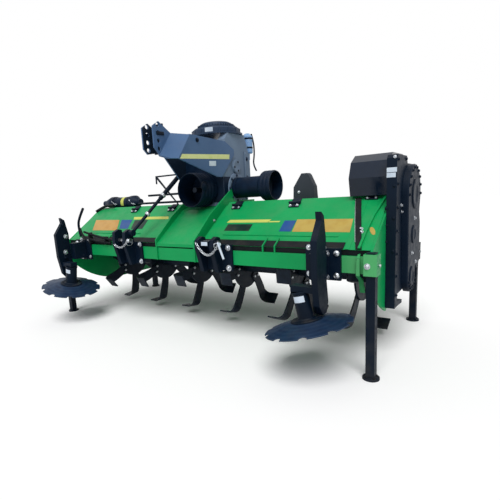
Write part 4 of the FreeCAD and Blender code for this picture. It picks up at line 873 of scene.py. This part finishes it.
# %% Hitch pins, chains and bolts
COLLAR = [(0.0, 0.018), (0.0, 0.027), (0.003, 0.029), (0.010, 0.029), (0.013, 0.027),
          (0.013, 0.018)]
KNOB = [(0.0, 0.0), (0.003, 0.012), (0.012, 0.017), (0.021, 0.012), (0.024, 0.0)]
LINCH_RING = [(0, -0.033, 0), (0.004, -0.044, 0), (0.006, -0.040, -0.034), (0.004, 0, -0.046),
              (0.002, 0.028, -0.026), (0, 0.032, 0)]
pins, chains, bolts = bmesh.new(), bmesh.new(), bmesh.new()
for name in ("left", "right"):
    low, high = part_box("lower_pin_" + name)
    axis = (low + high) / 2
    turned(pins, Vector((low.x + 0.004, *axis.yz)), RIGHT, COLLAR, 28)
    linch = Vector((high.x - 0.018, *axis.yz))
    rod(pins, linch - BACK * 0.035, BACK, 0.0045, 0.070, 10)
    bent_rod(pins, [linch + Vector(way) for way in LINCH_RING], 0.0028)
chain(chains, at(0.325, -0.122, 0.775), at(0.522, -0.122, 0.763), 0.080)
chain(chains, at(-0.600, -0.122, 0.737), at(-0.427, -0.122, 0.769), 0.040)
turned(pins, at(-0.431, -0.122, 0.770), BACK, KNOB, 20)
for x in (0.527, -0.401):
    for z in (0.728, 0.583):
        bolt(bolts, at(x, -0.0145, z), FRONT, 0.024)
keep("hitch_pins", pins, ZINC)
keep("hitch_chains", chains, ZINC)
keep("hitch_bolts", bolts, ZINC)

# %% T handle and label
handle, label, plate = bmesh.new(), bmesh.new(), bmesh.new()
pin_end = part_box("lower_pin_right")[1].x
bent_rod(handle, [at(pin_end - 0.010, -0.066, 0.766), at(pin_end + 0.010, -0.070, 0.766),
                  at(0.530, -0.100, 0.766), at(0.537, -0.125, 0.752)], 0.006)
start, end = at(0.525, -0.125, 0.781), at(0.569, -0.125, 0.667)
rod(handle, start, end - start, 0.0075, (end - start).length, 16, edge=0.002)
keep("pin_handle", handle, VINYL["white"])
block(label, at(0.374, -0.1208, 0.754), at(0.430, -0.1202, 0.781), 0)
keep("hitch_label", label, VINYL["white"])
block(plate, at(0.370, -0.1200, 0.750), at(0.434, -0.1000, 0.785))
keep("hitch_label_plate", plate, BLACK_POWDER)

# %% [markdown]
# ## Coulter discs
# The discs cut the furrow's edges so that soil doesn't spill sideways. Each arm is clamped to the
# beam by a plate and bolts, two of them big and round-headed, and a hub with a cap carries the
# disc. The clamps of the CAD model are plain, so two-part ones take their place. A hub leans
# outwards, so its rings are spun round a leaning axis instead of being turned afterwards.

# %% Clamps, plates and arm bolts
ARM_SIDE = -1.262   # the outer face of the left arm
ROUND_HEAD = [(0.0, 0.019), (0.004, 0.019), (0.010, 0.015), (0.013, 0.008), (0.014, 0.0)]
big_bolts, plates = bmesh.new(), bmesh.new()
for mark, name in ((-1, "left"), (1, "right")):
    low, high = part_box("disc_clamp_" + name)
    clamp = bmesh.new()
    for far, front, ear in ((1.2615, low.y, 0.020), (1.338, BEAM_FRONT - 0.020, 0.0)):
        block(clamp, (mark * 1.192, front, low.z + ear), (mark * far, high.y, high.z - ear), 0)
    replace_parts(keep("disc_clamp_slim_" + name, clamp, BLACK_POWDER), "disc_clamp_" + name)
    block(plates, at(mark * 1.115, -0.010, 0.560), at(mark * 1.200, -0.0002, 0.770))
    for x, z in ((1.138, 0.752), (1.138, 0.589)):
        bolt(big_bolts, at(mark * x, -0.010, z), FRONT, 0.018)
    for x, z in ((1.237, 0.755), (1.256, 0.719), (1.235, 0.603), (1.254, 0.579)):
        bolt(big_bolts, at(mark * x, -0.020, z), FRONT, 0.018)
    for z in (0.722, 0.590):
        turned(big_bolts, at(mark * 1.315, -0.020, z), FRONT, ROUND_HEAD, 24)
for y, z in ((-0.167, 0.800), (-0.188, 0.653)):
    bolt(big_bolts, at(ARM_SIDE, y, z), RIGHT, 0.024)
keep("clamp_bolts", big_bolts, ZINC)
for y, z in ((-0.187, 0.910), (-0.195, 0.600)):
    bolt(plates, at(ARM_SIDE, y, z), RIGHT, 0.018)
keep("clamp_plates", plates, BLACK_POWDER)

# %% Hub caps, labels and disc bolts
HUB_SEAL = [(0.0005, 0.049), (0.0005, 0.094), (0.006, 0.094), (0.009, 0.090), (0.010, 0.056),
            (0.016, 0.051), (0.016, 0.049)]
HUB_TOP = [(0.158, 0.0482), (0.160, 0.0520), (0.170, 0.0520), (0.172, 0.0482)]
HUB_CAP = [(-0.0065, 0.030), (-0.010, 0.034), (-0.024, 0.034), (-0.032, 0.028), (-0.034, 0.0)]
LABEL_SIDE = Vector((0.10, -0.99, 0))


def trim_label(label, middle, facing, reach):
    """Cut a ring of label down to the part that lies beyond a reach towards one side."""
    spare = [f for f in label.faces if (f.calc_center_median() - middle).dot(facing) < reach]
    bmesh.ops.delete(label, geom=spare, context="FACES")


for mark, name in ((-1, "left"), (1, "right")):
    foot = at(mark * 1.205, -0.205, 0.360)
    tilt = Matrix.Rotation(math.radians(-13 * mark), 3, "Y")
    axis = tilt @ UP
    seal, cap, label = bmesh.new(), bmesh.new(), bmesh.new()
    band(label, foot + axis * 0.130, axis, 0.018, 0.0480, 0.0486, 40)
    trim_label(label, foot + axis * 0.130, LABEL_SIDE, 0.038)
    keep("hub_label_" + name, label, VINYL["white"], "coulter_" + name)
    bolt_ring(seal, foot, axis, tilt @ (RIGHT * 0.075), 6, 0.016)
    turned(seal, foot, axis, HUB_SEAL, 40)
    turned(seal, foot, axis, HUB_TOP, 40)
    turned(cap, foot, axis, HUB_CAP)
    keep("hub_rings_" + name, seal, BLACK_POWDER, "coulter_" + name)
    keep("hub_cap_" + name, cap, BLADE_STEEL, "coulter_" + name)

# %% [markdown]
# ## Side gear drive
# The gear case is a welded box with a bolted lid. The lid's chamfered edge is drawn here, so this
# lid takes the place of the plain one. Its outline is the tight wrap of two circles, which is
# found by asking, for each direction, which circle reaches further. Two blank data plates are
# fixed to the case's front edge.

# %% Gear case lid
ROTOR_Y, ROTOR_Z = 0.55, 0.495
CASE_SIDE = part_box("gearcase")[1].x
LID_SIDE, LID_CHAMFER, LID_POINTS = 1.609, 0.006, 72
LID_ROUNDS = ((ROTOR_Y, ROTOR_Z, 0.105), (0.60, 1.03, 0.190))


def round_both(grow):
    """The (y, z) points of an outline round both shafts."""
    points = []
    for step in range(LID_POINTS):
        angle = step * 2 * math.pi / LID_POINTS
        aim_y, aim_z = math.cos(angle), math.sin(angle)
        y, z, radius = max(LID_ROUNDS, key=lambda c: c[0] * aim_y + c[1] * aim_z + c[2])
        points.append((y + aim_y * (radius + grow), z + aim_z * (radius + grow)))
    return points


shape = bmesh.new()
rings = [[shape.verts.new(at(x, y, z)) for y, z in round_both(grow)]
         for x, grow in ((CASE_SIDE, 0), (LID_SIDE - LID_CHAMFER, 0), (LID_SIDE, -LID_CHAMFER))]
for near, far in zip(rings, rings[1:]):
    for i in range(LID_POINTS):
        shape.faces.new((near[i - 1], near[i], far[i], far[i - 1]))
shape.faces.new(rings[0])
shape.faces.new(rings[-1])
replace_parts(keep("gearcase_lid_chamfered", shape, BLACK_POWDER), "gearcase_lid")

# %% Gear case bolts and data plates
CASE_BOLTS = ((0.50, 1.25), (0.84, 1.10), (0.85, 0.94), (0.85, 0.80), (0.85, 0.66),
              *((0.30, z) for z in (1.24, 1.10, 0.96, 0.82, 0.68, 0.54, 0.42)))
BRIGHT_BOLTS = ((CASE_SIDE, 0.396, 0.968), (CASE_SIDE, 0.421, 0.928), (LID_SIDE, 0.606, 0.873),
                (LID_SIDE, 0.548, 0.650), (LID_SIDE, 0.672, 0.572))
EDGE_BOLTS = ((1.514, 0.957), (1.514, 0.854), (1.514, 0.755), (1.556, 1.09), (1.556, 0.90),
              (1.556, 0.70))
case_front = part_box("gearcase")[0].y
bolts, bright, plates = bmesh.new(), bmesh.new(), bmesh.new()
for y, z in CASE_BOLTS:
    bolt(bolts, at(CASE_SIDE, y, z), RIGHT, 0.014)
for y, z in round_both(-0.020)[::4]:
    bolt(bolts, at(LID_SIDE, y, z), RIGHT, 0.014)
for x, z in EDGE_BOLTS:
    bolt(bolts, (x, case_front, GROUND + z), FRONT, 0.012)
keep("gearcase_bolts", bolts, BLACK_POWDER)
for place in BRIGHT_BOLTS:
    bolt(bright, at(*place), RIGHT, 0.014)
bolt(bright, (1.557, case_front, GROUND + 1.255), FRONT, 0.010)
keep("gearcase_bright_bolts", bright, ZINC)
for right, low_z in ((1.5690, 1.168), (1.5630, 1.138)):
    block(plates, (1.512, case_front - 0.0012, GROUND + low_z),
          (right, case_front - 0.0002, GROUND + low_z + 0.027), 0)
keep("data_plates", plates, VINYL["white"])

# %% Shaft covers of the gear case
trim = bmesh.new()
for y, z, radius in ((0.60, 1.03, 0.095), (ROTOR_Y, ROTOR_Z, 0.066), (0.58, 0.77, 0.060)):
    turned(trim, at(LID_SIDE, y, z), RIGHT,
           [(0.0, radius), (0.006, radius), (0.008, radius - 0.004), (0.008, radius * 0.62),
            (0.0035, radius * 0.52), (0.0035, 0.0)], 40)
keep("gearcase_covers", trim, BLACK_POWDER)

# %% [markdown]
# ## End plates and rotor bearing
# Rings of bolts hold the rotor's bearing to the left end plate, so that the plate can be taken
# off for work on the rotor. The bearing has a cast cap at this free end. Bolts are placed by one
# helper that walks round the axis, and loose ones by a short list.

# %% End plate and bearing bolts
CAP = at(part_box("rotor_bearing")[0].x, ROTOR_Y, ROTOR_Z)
PLATE = at(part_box("end_plate_left")[0].x, ROTOR_Y, ROTOR_Z)
PLATE_BOLTS = ((0.06, 0.69), (0.06, 0.63), (0.16, 0.78), (0.36, 0.93), (0.70, 0.96),
               (0.90, 0.82), (1.01, 0.69), (0.08, 0.48), (0.90, 0.33))
bolts, trim = bmesh.new(), bmesh.new()
first = Matrix.Rotation(math.radians(22), 3, "X") @ (BACK * 0.088)
bolt_ring(bolts, CAP, LEFT, first, 8, 0.018)
turned(trim, CAP, LEFT, [(0.0, 0.066), (0.006, 0.063), (0.010, 0.052), (0.010, 0.0)], 36)
turned(trim, PLATE, LEFT, [(0.0, 0.165), (0.010, 0.162), (0.012, 0.158), (0.012, 0.112),
                           (0.0, 0.112)], 56)
bolt_ring(bolts, PLATE + LEFT * 0.012, LEFT, BACK * 0.140, 10, 0.019)
for y, z in PLATE_BOLTS:
    bolt(bolts, at(PLATE.x, y, z), LEFT, 0.018)
bolt(bolts, at(-PLATE.x, 0.98, 0.83), RIGHT, 0.018)
keep("end_plate_bolts", bolts, ZINC)
keep("bearing_cover_rings", trim, BLACK_POWDER)

# %% [markdown]
# ## Rotor blades
# Each curved blade is held to its flange by two bolts, so that worn ones can be changed. The
# bolts turn with the rotor, and their places come from the same angles as the blades, so they
# stay on the shanks. There are 72, so they have no washers.

# %% Blade bolts
FLANGES, BLADES = 6, 6                             # blades are those on one flange
FIRST_FLANGE, FLANGE_STEP, FLANGE_FACE = -1.2, 0.5, 0.0173
FIRST_ANGLE, BLADE_ANGLE, HELIX_ANGLE = 67, 60, 112
AXIS = at(0, ROTOR_Y, ROTOR_Z)
shape = bmesh.new()
for index in range(FLANGES):
    middle = FIRST_FLANGE + FLANGE_STEP * index
    for number in range(BLADES):
        mark = 1 if number % 2 else -1
        angle = math.radians(number * BLADE_ANGLE + FIRST_ANGLE + index * HELIX_ANGLE)
        shank = Vector((0, -math.sin(angle), math.cos(angle)))
        across = Vector((0, shank.z, -shank.y))
        for out, shift in ((0.145, 0.022), (0.180, -0.020)):
            place = AXIS + RIGHT * (middle + mark * FLANGE_FACE) + shank * out + across * shift
            bolt(shape, place, RIGHT * mark, 0.022, washer=False)
keep("blade_bolts", shape, ZINC, "rotor")

# %% [markdown]
# ## Parking stands
# Square legs slide in sockets and are held by a pin through a row of holes. The pin's end rides
# with the socket. Holes could be cut with a boolean, but the leg belongs to the CAD model, so
# they are thin dark discs on its faces: painted shade for the inside of each hole. Small bolts
# hold the foot. The rear sockets are square tubes here, and take the place of the plain ones.

# %% Stand pins and holes
STAND_X, STAND_REAR = 1.520, 1.128
for mark, name in ((-1, "left"), (1, "right")):
    for where, height in (("front", 0.668), ("rear", 0.570)):
        stand = "%s_%s" % (where, name)
        pins, holes = bmesh.new(), bmesh.new()
        leg_y = sum(corner.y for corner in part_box("stand_" + stand)) / 2
        rod(pins, (mark * 1.5565, leg_y, GROUND + height), RIGHT * mark, 0.009, 0.010, 16,
            edge=0.001)
        keep("stand_pins_" + stand, pins, ZINC)
        # Dark discs on the leg's faces are painted shade, for the inside of the holes.
        for step in range(5):
            for face in (-1, 1):
                rod(holes, (mark * STAND_X + face * 0.0248, leg_y, GROUND + 0.16 + step * 0.075),
                    RIGHT * face, 0.011, 0.0004)
        for x in (-0.026, 0.026):
            for y in (-0.026, 0.026):
                rod(holes, (mark * STAND_X + x, leg_y + y, GROUND + 0.012), UP, 0.006, 0.006, 10)
        keep("stand_hole_shade_" + stand, holes, RUBBER, "stand_" + stand)

# %% Rear sockets
OUTER, INNER = 0.0365, 0.0255   # half widths of the square tube
SOCKET_LOW, SOCKET_TOP = 0.505, 0.640
WALLS = ((-OUTER, -OUTER, OUTER, -INNER), (-OUTER, INNER, OUTER, OUTER),
         (-OUTER, -INNER, -INNER, INNER), (INNER, -INNER, OUTER, INNER))
for mark, name in ((-1, "left"), (1, "right")):
    shape = bmesh.new()
    for low_x, low_y, high_x, high_y in WALLS:
        block(shape, at(mark * STAND_X + low_x, STAND_REAR + low_y, SOCKET_LOW),
              at(mark * STAND_X + high_x, STAND_REAR + high_y, SOCKET_TOP), 0)
    block(shape, at(mark * 1.500, 1.0703, SOCKET_LOW), at(mark * 1.512, 1.0915, SOCKET_TOP), 0)
    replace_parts(keep("stand_tube_rear_" + name, shape, BLACK_POWDER), "stand_socket_rear_" + name)

# %% [markdown]
# ## Rear board
# The board levels the soil behind the rotor. Pressed ribs stiffen it, and a wear strip is bolted
# along its lower edge. They are drawn along the board's own slope, from its hinge to its toe,
# and ride with it when it swings.

# %% Board ribs and strip
hinge, toe = at(0, 1.008, 0.786), at(0, 1.098, 0.392)
down = (toe - hinge).normalized()
out = Vector((0, -down.z, down.y))
sheet = hinge + out * 0.004
ribs, bolts = bmesh.new(), bmesh.new()
for x in (-1.30, -0.86, -0.43, 0.0, 0.43, 0.86, 1.30):
    rib(ribs, sheet + RIGHT * x + down * 0.075, sheet + RIGHT * x + down * 0.355, 0.020, 0.012)
rib(ribs, sheet + down * 0.34, sheet + down * 0.385, 1.46, 0.008)
soften(ribs, ribs.verts, 0.002, 1)
for step in range(12):
    bolt(bolts, sheet + down * 0.362 + out * 0.008 + RIGHT * (-1.375 + step * 0.25), out, 0.018)
keep("board_ribs", ribs, GREEN_ENAMEL, "rear_board")
keep("board_bolts", bolts, ZINC, "rear_board")

# %% [markdown]
# ## Hood
# Bolts hold the covers' shelf and the centre plates to the hood, and pressed ribs run down its
# rear slope, where soil thrown by the rotor hits it from inside. The ribs are softened sheets,
# because a pressing has no sharp edge.

# %% Hood ribs and bolts
SHELF = 1.0102
slope_top, slope_low = at(0, 0.690, 1.010), at(0, 0.980, 0.806)
fall = (slope_low - slope_top).normalized()
lift = Vector((0, -fall.z, fall.y)) * 0.0002
ribs, bolts = bmesh.new(), bmesh.new()
for x in (-1.25, -0.95, -0.65, -0.35, 0.35, 0.65, 0.95, 1.25):
    rib(ribs, slope_top + RIGHT * x + fall * 0.03 + lift,
        slope_low + RIGHT * x - fall * 0.03 + lift, 0.016, 0.010)
soften(ribs, ribs.verts, 0.003)
for y, row in ((0.655, (-1.40, -1.10, -0.80, -0.50)), (0.640, (0.45, 0.70, 1.0, 1.28))):
    for x in row:
        bolt(bolts, at(x, y, SHELF), UP, 0.018)
for mark in (-1, 1):
    bolt(bolts, at(mark * 0.212, 0.25, 0.90), RIGHT * mark, 0.014)
keep("hood_ribs", ribs, GREEN_ENAMEL)
keep("hood_bolts", bolts, ZINC)

# %% [markdown]
# ## Oil canister, rack and post
# The oil canister is held by two black straps and has a screw cap, and a hose leads down from
# it. The straps are bands a hair wider than the canister, so that they don't cut into it. A bolt
# goes through the board's post, and two hold the rack.

# %% Canister straps, hose and cap
can_low, can_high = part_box("oil_canister")
cap_foot = Vector(((can_low.x + can_high.x) / 2, BEAM_FRONT + 0.881, can_high.z))
cap, straps = bmesh.new(), bmesh.new()
turned(cap, cap_foot, UP, [(-0.012, 0.020), (-0.001, 0.020), (0.001, 0.018), (0.001, 0.0)], 24)
keep("canister_cap", cap, GUARD_PLASTIC)
for drop in (0.045, 0.125):
    band(straps, cap_foot - UP * drop, UP, 0.007, 0.0452, 0.0466, 36)
bent_rod(straps, [at(0.165, 0.930, 1.630), at(0.188, 0.930, 1.560), at(0.190, 0.930, 1.440),
                  at(0.170, 0.930, 1.360), at(0.205, 0.930, 1.300)], 0.007)
keep("canister_straps", straps, BLACK_POWDER)

# %% Post and rack bolts
shape = bmesh.new()
bolt(shape, at(0.800, 0.570, 1.085), FRONT, 0.012)
for x in (-0.215, -0.24):
    bolt(shape, at(x, 0.596, 1.316), FRONT, 0.010)
keep("post_bolts", shape, ZINC)

# %% [markdown]
# ## Spare drive shaft
# A spare shaft lies behind the left cover in its plastic guard. Ribbed cones close its ends, a
# blank yellow label sits in the middle, and a short chain at each end keeps the guard from
# turning. The ribs are bands, and the label is a band that is cut down to its upper side.

# %% Drive shaft rings, label and chains
rings, label, chains = bmesh.new(), bmesh.new(), bmesh.new()
SHAFT = at(0, 0.5293, 1.0793)
for x in (-1.345, -1.330, -1.315, -1.120, -1.105, -1.090):
    band(rings, SHAFT + RIGHT * x, RIGHT, 0.004, 0.0600, 0.0635, 36)
for x in (-1.378, -1.059):
    band(rings, SHAFT + RIGHT * x, RIGHT, 0.006, 0.0685, 0.0700, 36)
keep("shaft_guard_rings", rings, GUARD_PLASTIC)
band(label, SHAFT + LEFT * 1.190, RIGHT, 0.023, 0.0602, 0.0606, 40)
trim_label(label, SHAFT, Vector((0, -0.6, 0.8)), 0.012)
keep("shaft_guard_label", label, VINYL["yellow"])
for start, end in (((-1.36, -0.058, 0.028), (-1.27, -0.064, -0.010)),
                   ((-1.06, -0.066, 0.030), (-0.985, -0.060, -0.020))):
    chain(chains, SHAFT + Vector(start), SHAFT + Vector(end), 0.014)
keep("shaft_guard_chains", chains, ZINC)

# %% [markdown]
# ## Brace and lever
# The screw brace between the headstock and the left hitch has two nuts on its sleeve and pins at
# both ends. A release lever stands at the beam's left end. Two rigid pipes are clipped along the
# beam, and a third bends over the left cover's end. Two rods run from the spare shaft's rest to
# the gearbox. All are bent or straight bars, with few sides because they are thin.

# %% Brace fittings and lever
PIN_Y, PIN_Z = -0.052, 0.828   # the brace's lower pin
foot, crown = at(-0.437, PIN_Y, PIN_Z), at(-0.234, 0.402, 1.318)
brace = crown - foot
nuts, pins, lever = bmesh.new(), bmesh.new(), bmesh.new()
for share in (0.30, 0.61):
    rod(nuts, foot + brace * share - brace.normalized() * 0.012, brace, 0.024, 0.024, 6,
        edge=0.001)
keep("brace_nuts", nuts, ZINC)
bolt(pins, at(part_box("headstock_brace")[0].x, PIN_Y, PIN_Z), LEFT, 0.024)
bolt(pins, at(-0.256, 0.402, 1.318), LEFT, 0.024)
keep("brace_pins", pins, ZINC)
bent_rod(lever, [at(-1.256, -0.012, 0.780), at(-1.256, -0.030, 0.888),
                 at(-1.210, -0.030, 0.972), at(-1.137, -0.030, 1.050)], 0.012)
keep("release_lever", lever, BLACK_POWDER)

# %% Pipes on the beam and rods behind the cover
PIPE_Y, PIPE_RADIUS = -0.020, 0.010
UPPER_PIPE = ((-1.241, 0.865), (-1.225, 0.787), (-1.099, 0.760), (-0.947, 0.735), (-0.783, 0.730))
LOWER_PIPE = ((-1.183, 0.827), (-0.997, 0.791), (-0.764, 0.758), (-0.640, 0.745))
COVER_PIPE = ((-1.490, 0.430, 0.012), (-1.440, 0.485, 0.016), (-1.360, 0.500, 0.030),
              (-1.240, 0.500, 0.030))
pipes, rods = bmesh.new(), bmesh.new()
for run in (UPPER_PIPE, LOWER_PIPE):
    bent_rod(pipes, [at(x, PIPE_Y, z) for x, z in run], PIPE_RADIUS)
bent_rod(pipes, [on_cover(*spot) for spot in COVER_PIPE], 0.014)
for x, top in ((-1.100, 0.822), (-0.860, 0.785)):
    block(pipes, at(x - 0.008, -0.032, 0.716), at(x + 0.008, 0.010, top), 0.003)
keep("beam_pipes", pipes, RUBBER)
GEARBOX_EDGE = -0.2005
for left, y, z in ((-0.790, 0.490, 1.135), (-0.930, 0.470, 1.062)):
    rod(rods, at(left, y, z), RIGHT, 0.010, GEARBOX_EDGE - left, 14)
keep("cover_rods", rods, BLACK_POWDER)

# %% [markdown]
# ## Floor and light
# The floor is pale and seamless. A camera ray sees it pure white, so that it turns into a white
# background, while the machine's shadow still shows on it. A soft wide sun stands in for a big
# studio lamp in front of and above the machine, and the world gives an even fill from all round.
# Area lamps would do as well, but a sun keeps its strength wherever the camera goes.

# %% Floor
shape = bmesh.new()
bmesh.ops.create_grid(shape, x_segments=1, y_segments=1, size=30,
                      matrix=Matrix.Translation((0, 0, GROUND)))
mesh = bpy.data.meshes.new("floor")
shape.to_mesh(mesh)
shape.free()
floor = bpy.data.objects.new("floor", mesh)
bpy.context.scene.collection.objects.link(floor)
FLOOR_PAINT, place = new_material("matt_studio_floor")
tone = clouds(FLOOR_PAINT, place, 800 * MM, 4.0, 0.0, 1.0, 0.86, 0.92)
seen = add_node(FLOOR_PAINT, "ShaderNodeLightPath", {}, "Is Camera Ray")
white = add_node(FLOOR_PAINT, "ShaderNodeMath", {"operation": "MULTIPLY", 0: seen, 1: 1.05})
shown = add_node(FLOOR_PAINT, "ShaderNodeMath", {"operation": "MAXIMUM", 0: tone, 1: white})
matt = add_node(FLOOR_PAINT, "ShaderNodeBsdfDiffuse", {"Color": shown})
add_node(FLOOR_PAINT, "ShaderNodeOutputMaterial", {"Surface": matt})
mesh.materials.append(FLOOR_PAINT)
print("floor at", round(GROUND, 3))

# %% World and sun
world = bpy.data.worlds.new("studio")
world.use_nodes = True
world.node_tree.nodes.clear()
bpy.context.scene.world = world
rays = world.node_tree.nodes.new("ShaderNodeLightPath")
white = add_node(world, "ShaderNodeMath", {"operation": "MAXIMUM",
                                           0: rays.outputs["Is Camera Ray"],
                                           1: rays.outputs["Is Glossy Ray"]})
white = add_node(world, "ShaderNodeMath", {"operation": "MAXIMUM", 0: white,
                                           1: rays.outputs["Is Transmission Ray"]})
strength = add_node(world, "ShaderNodeMapRange", {"Value": white, "To Min": 0.36, "To Max": 1.0})
sky = add_node(world, "ShaderNodeBackground", {"Color": "#FFFFFF", "Strength": strength})
add_node(world, "ShaderNodeOutputWorld", {"Surface": sky})
lamp = bpy.data.lights.new("soft_sun", "SUN")
lamp.energy, lamp.angle = 2.5, math.radians(40)
sun = bpy.data.objects.new("soft_sun", lamp)
sun.matrix_world = Vector((0.40, -0.80, 1.20)).to_track_quat("Z", "Y").to_matrix().to_4x4()
bpy.context.scene.collection.objects.link(sun)
print("sun of", lamp.energy, "and a world of 0.36")
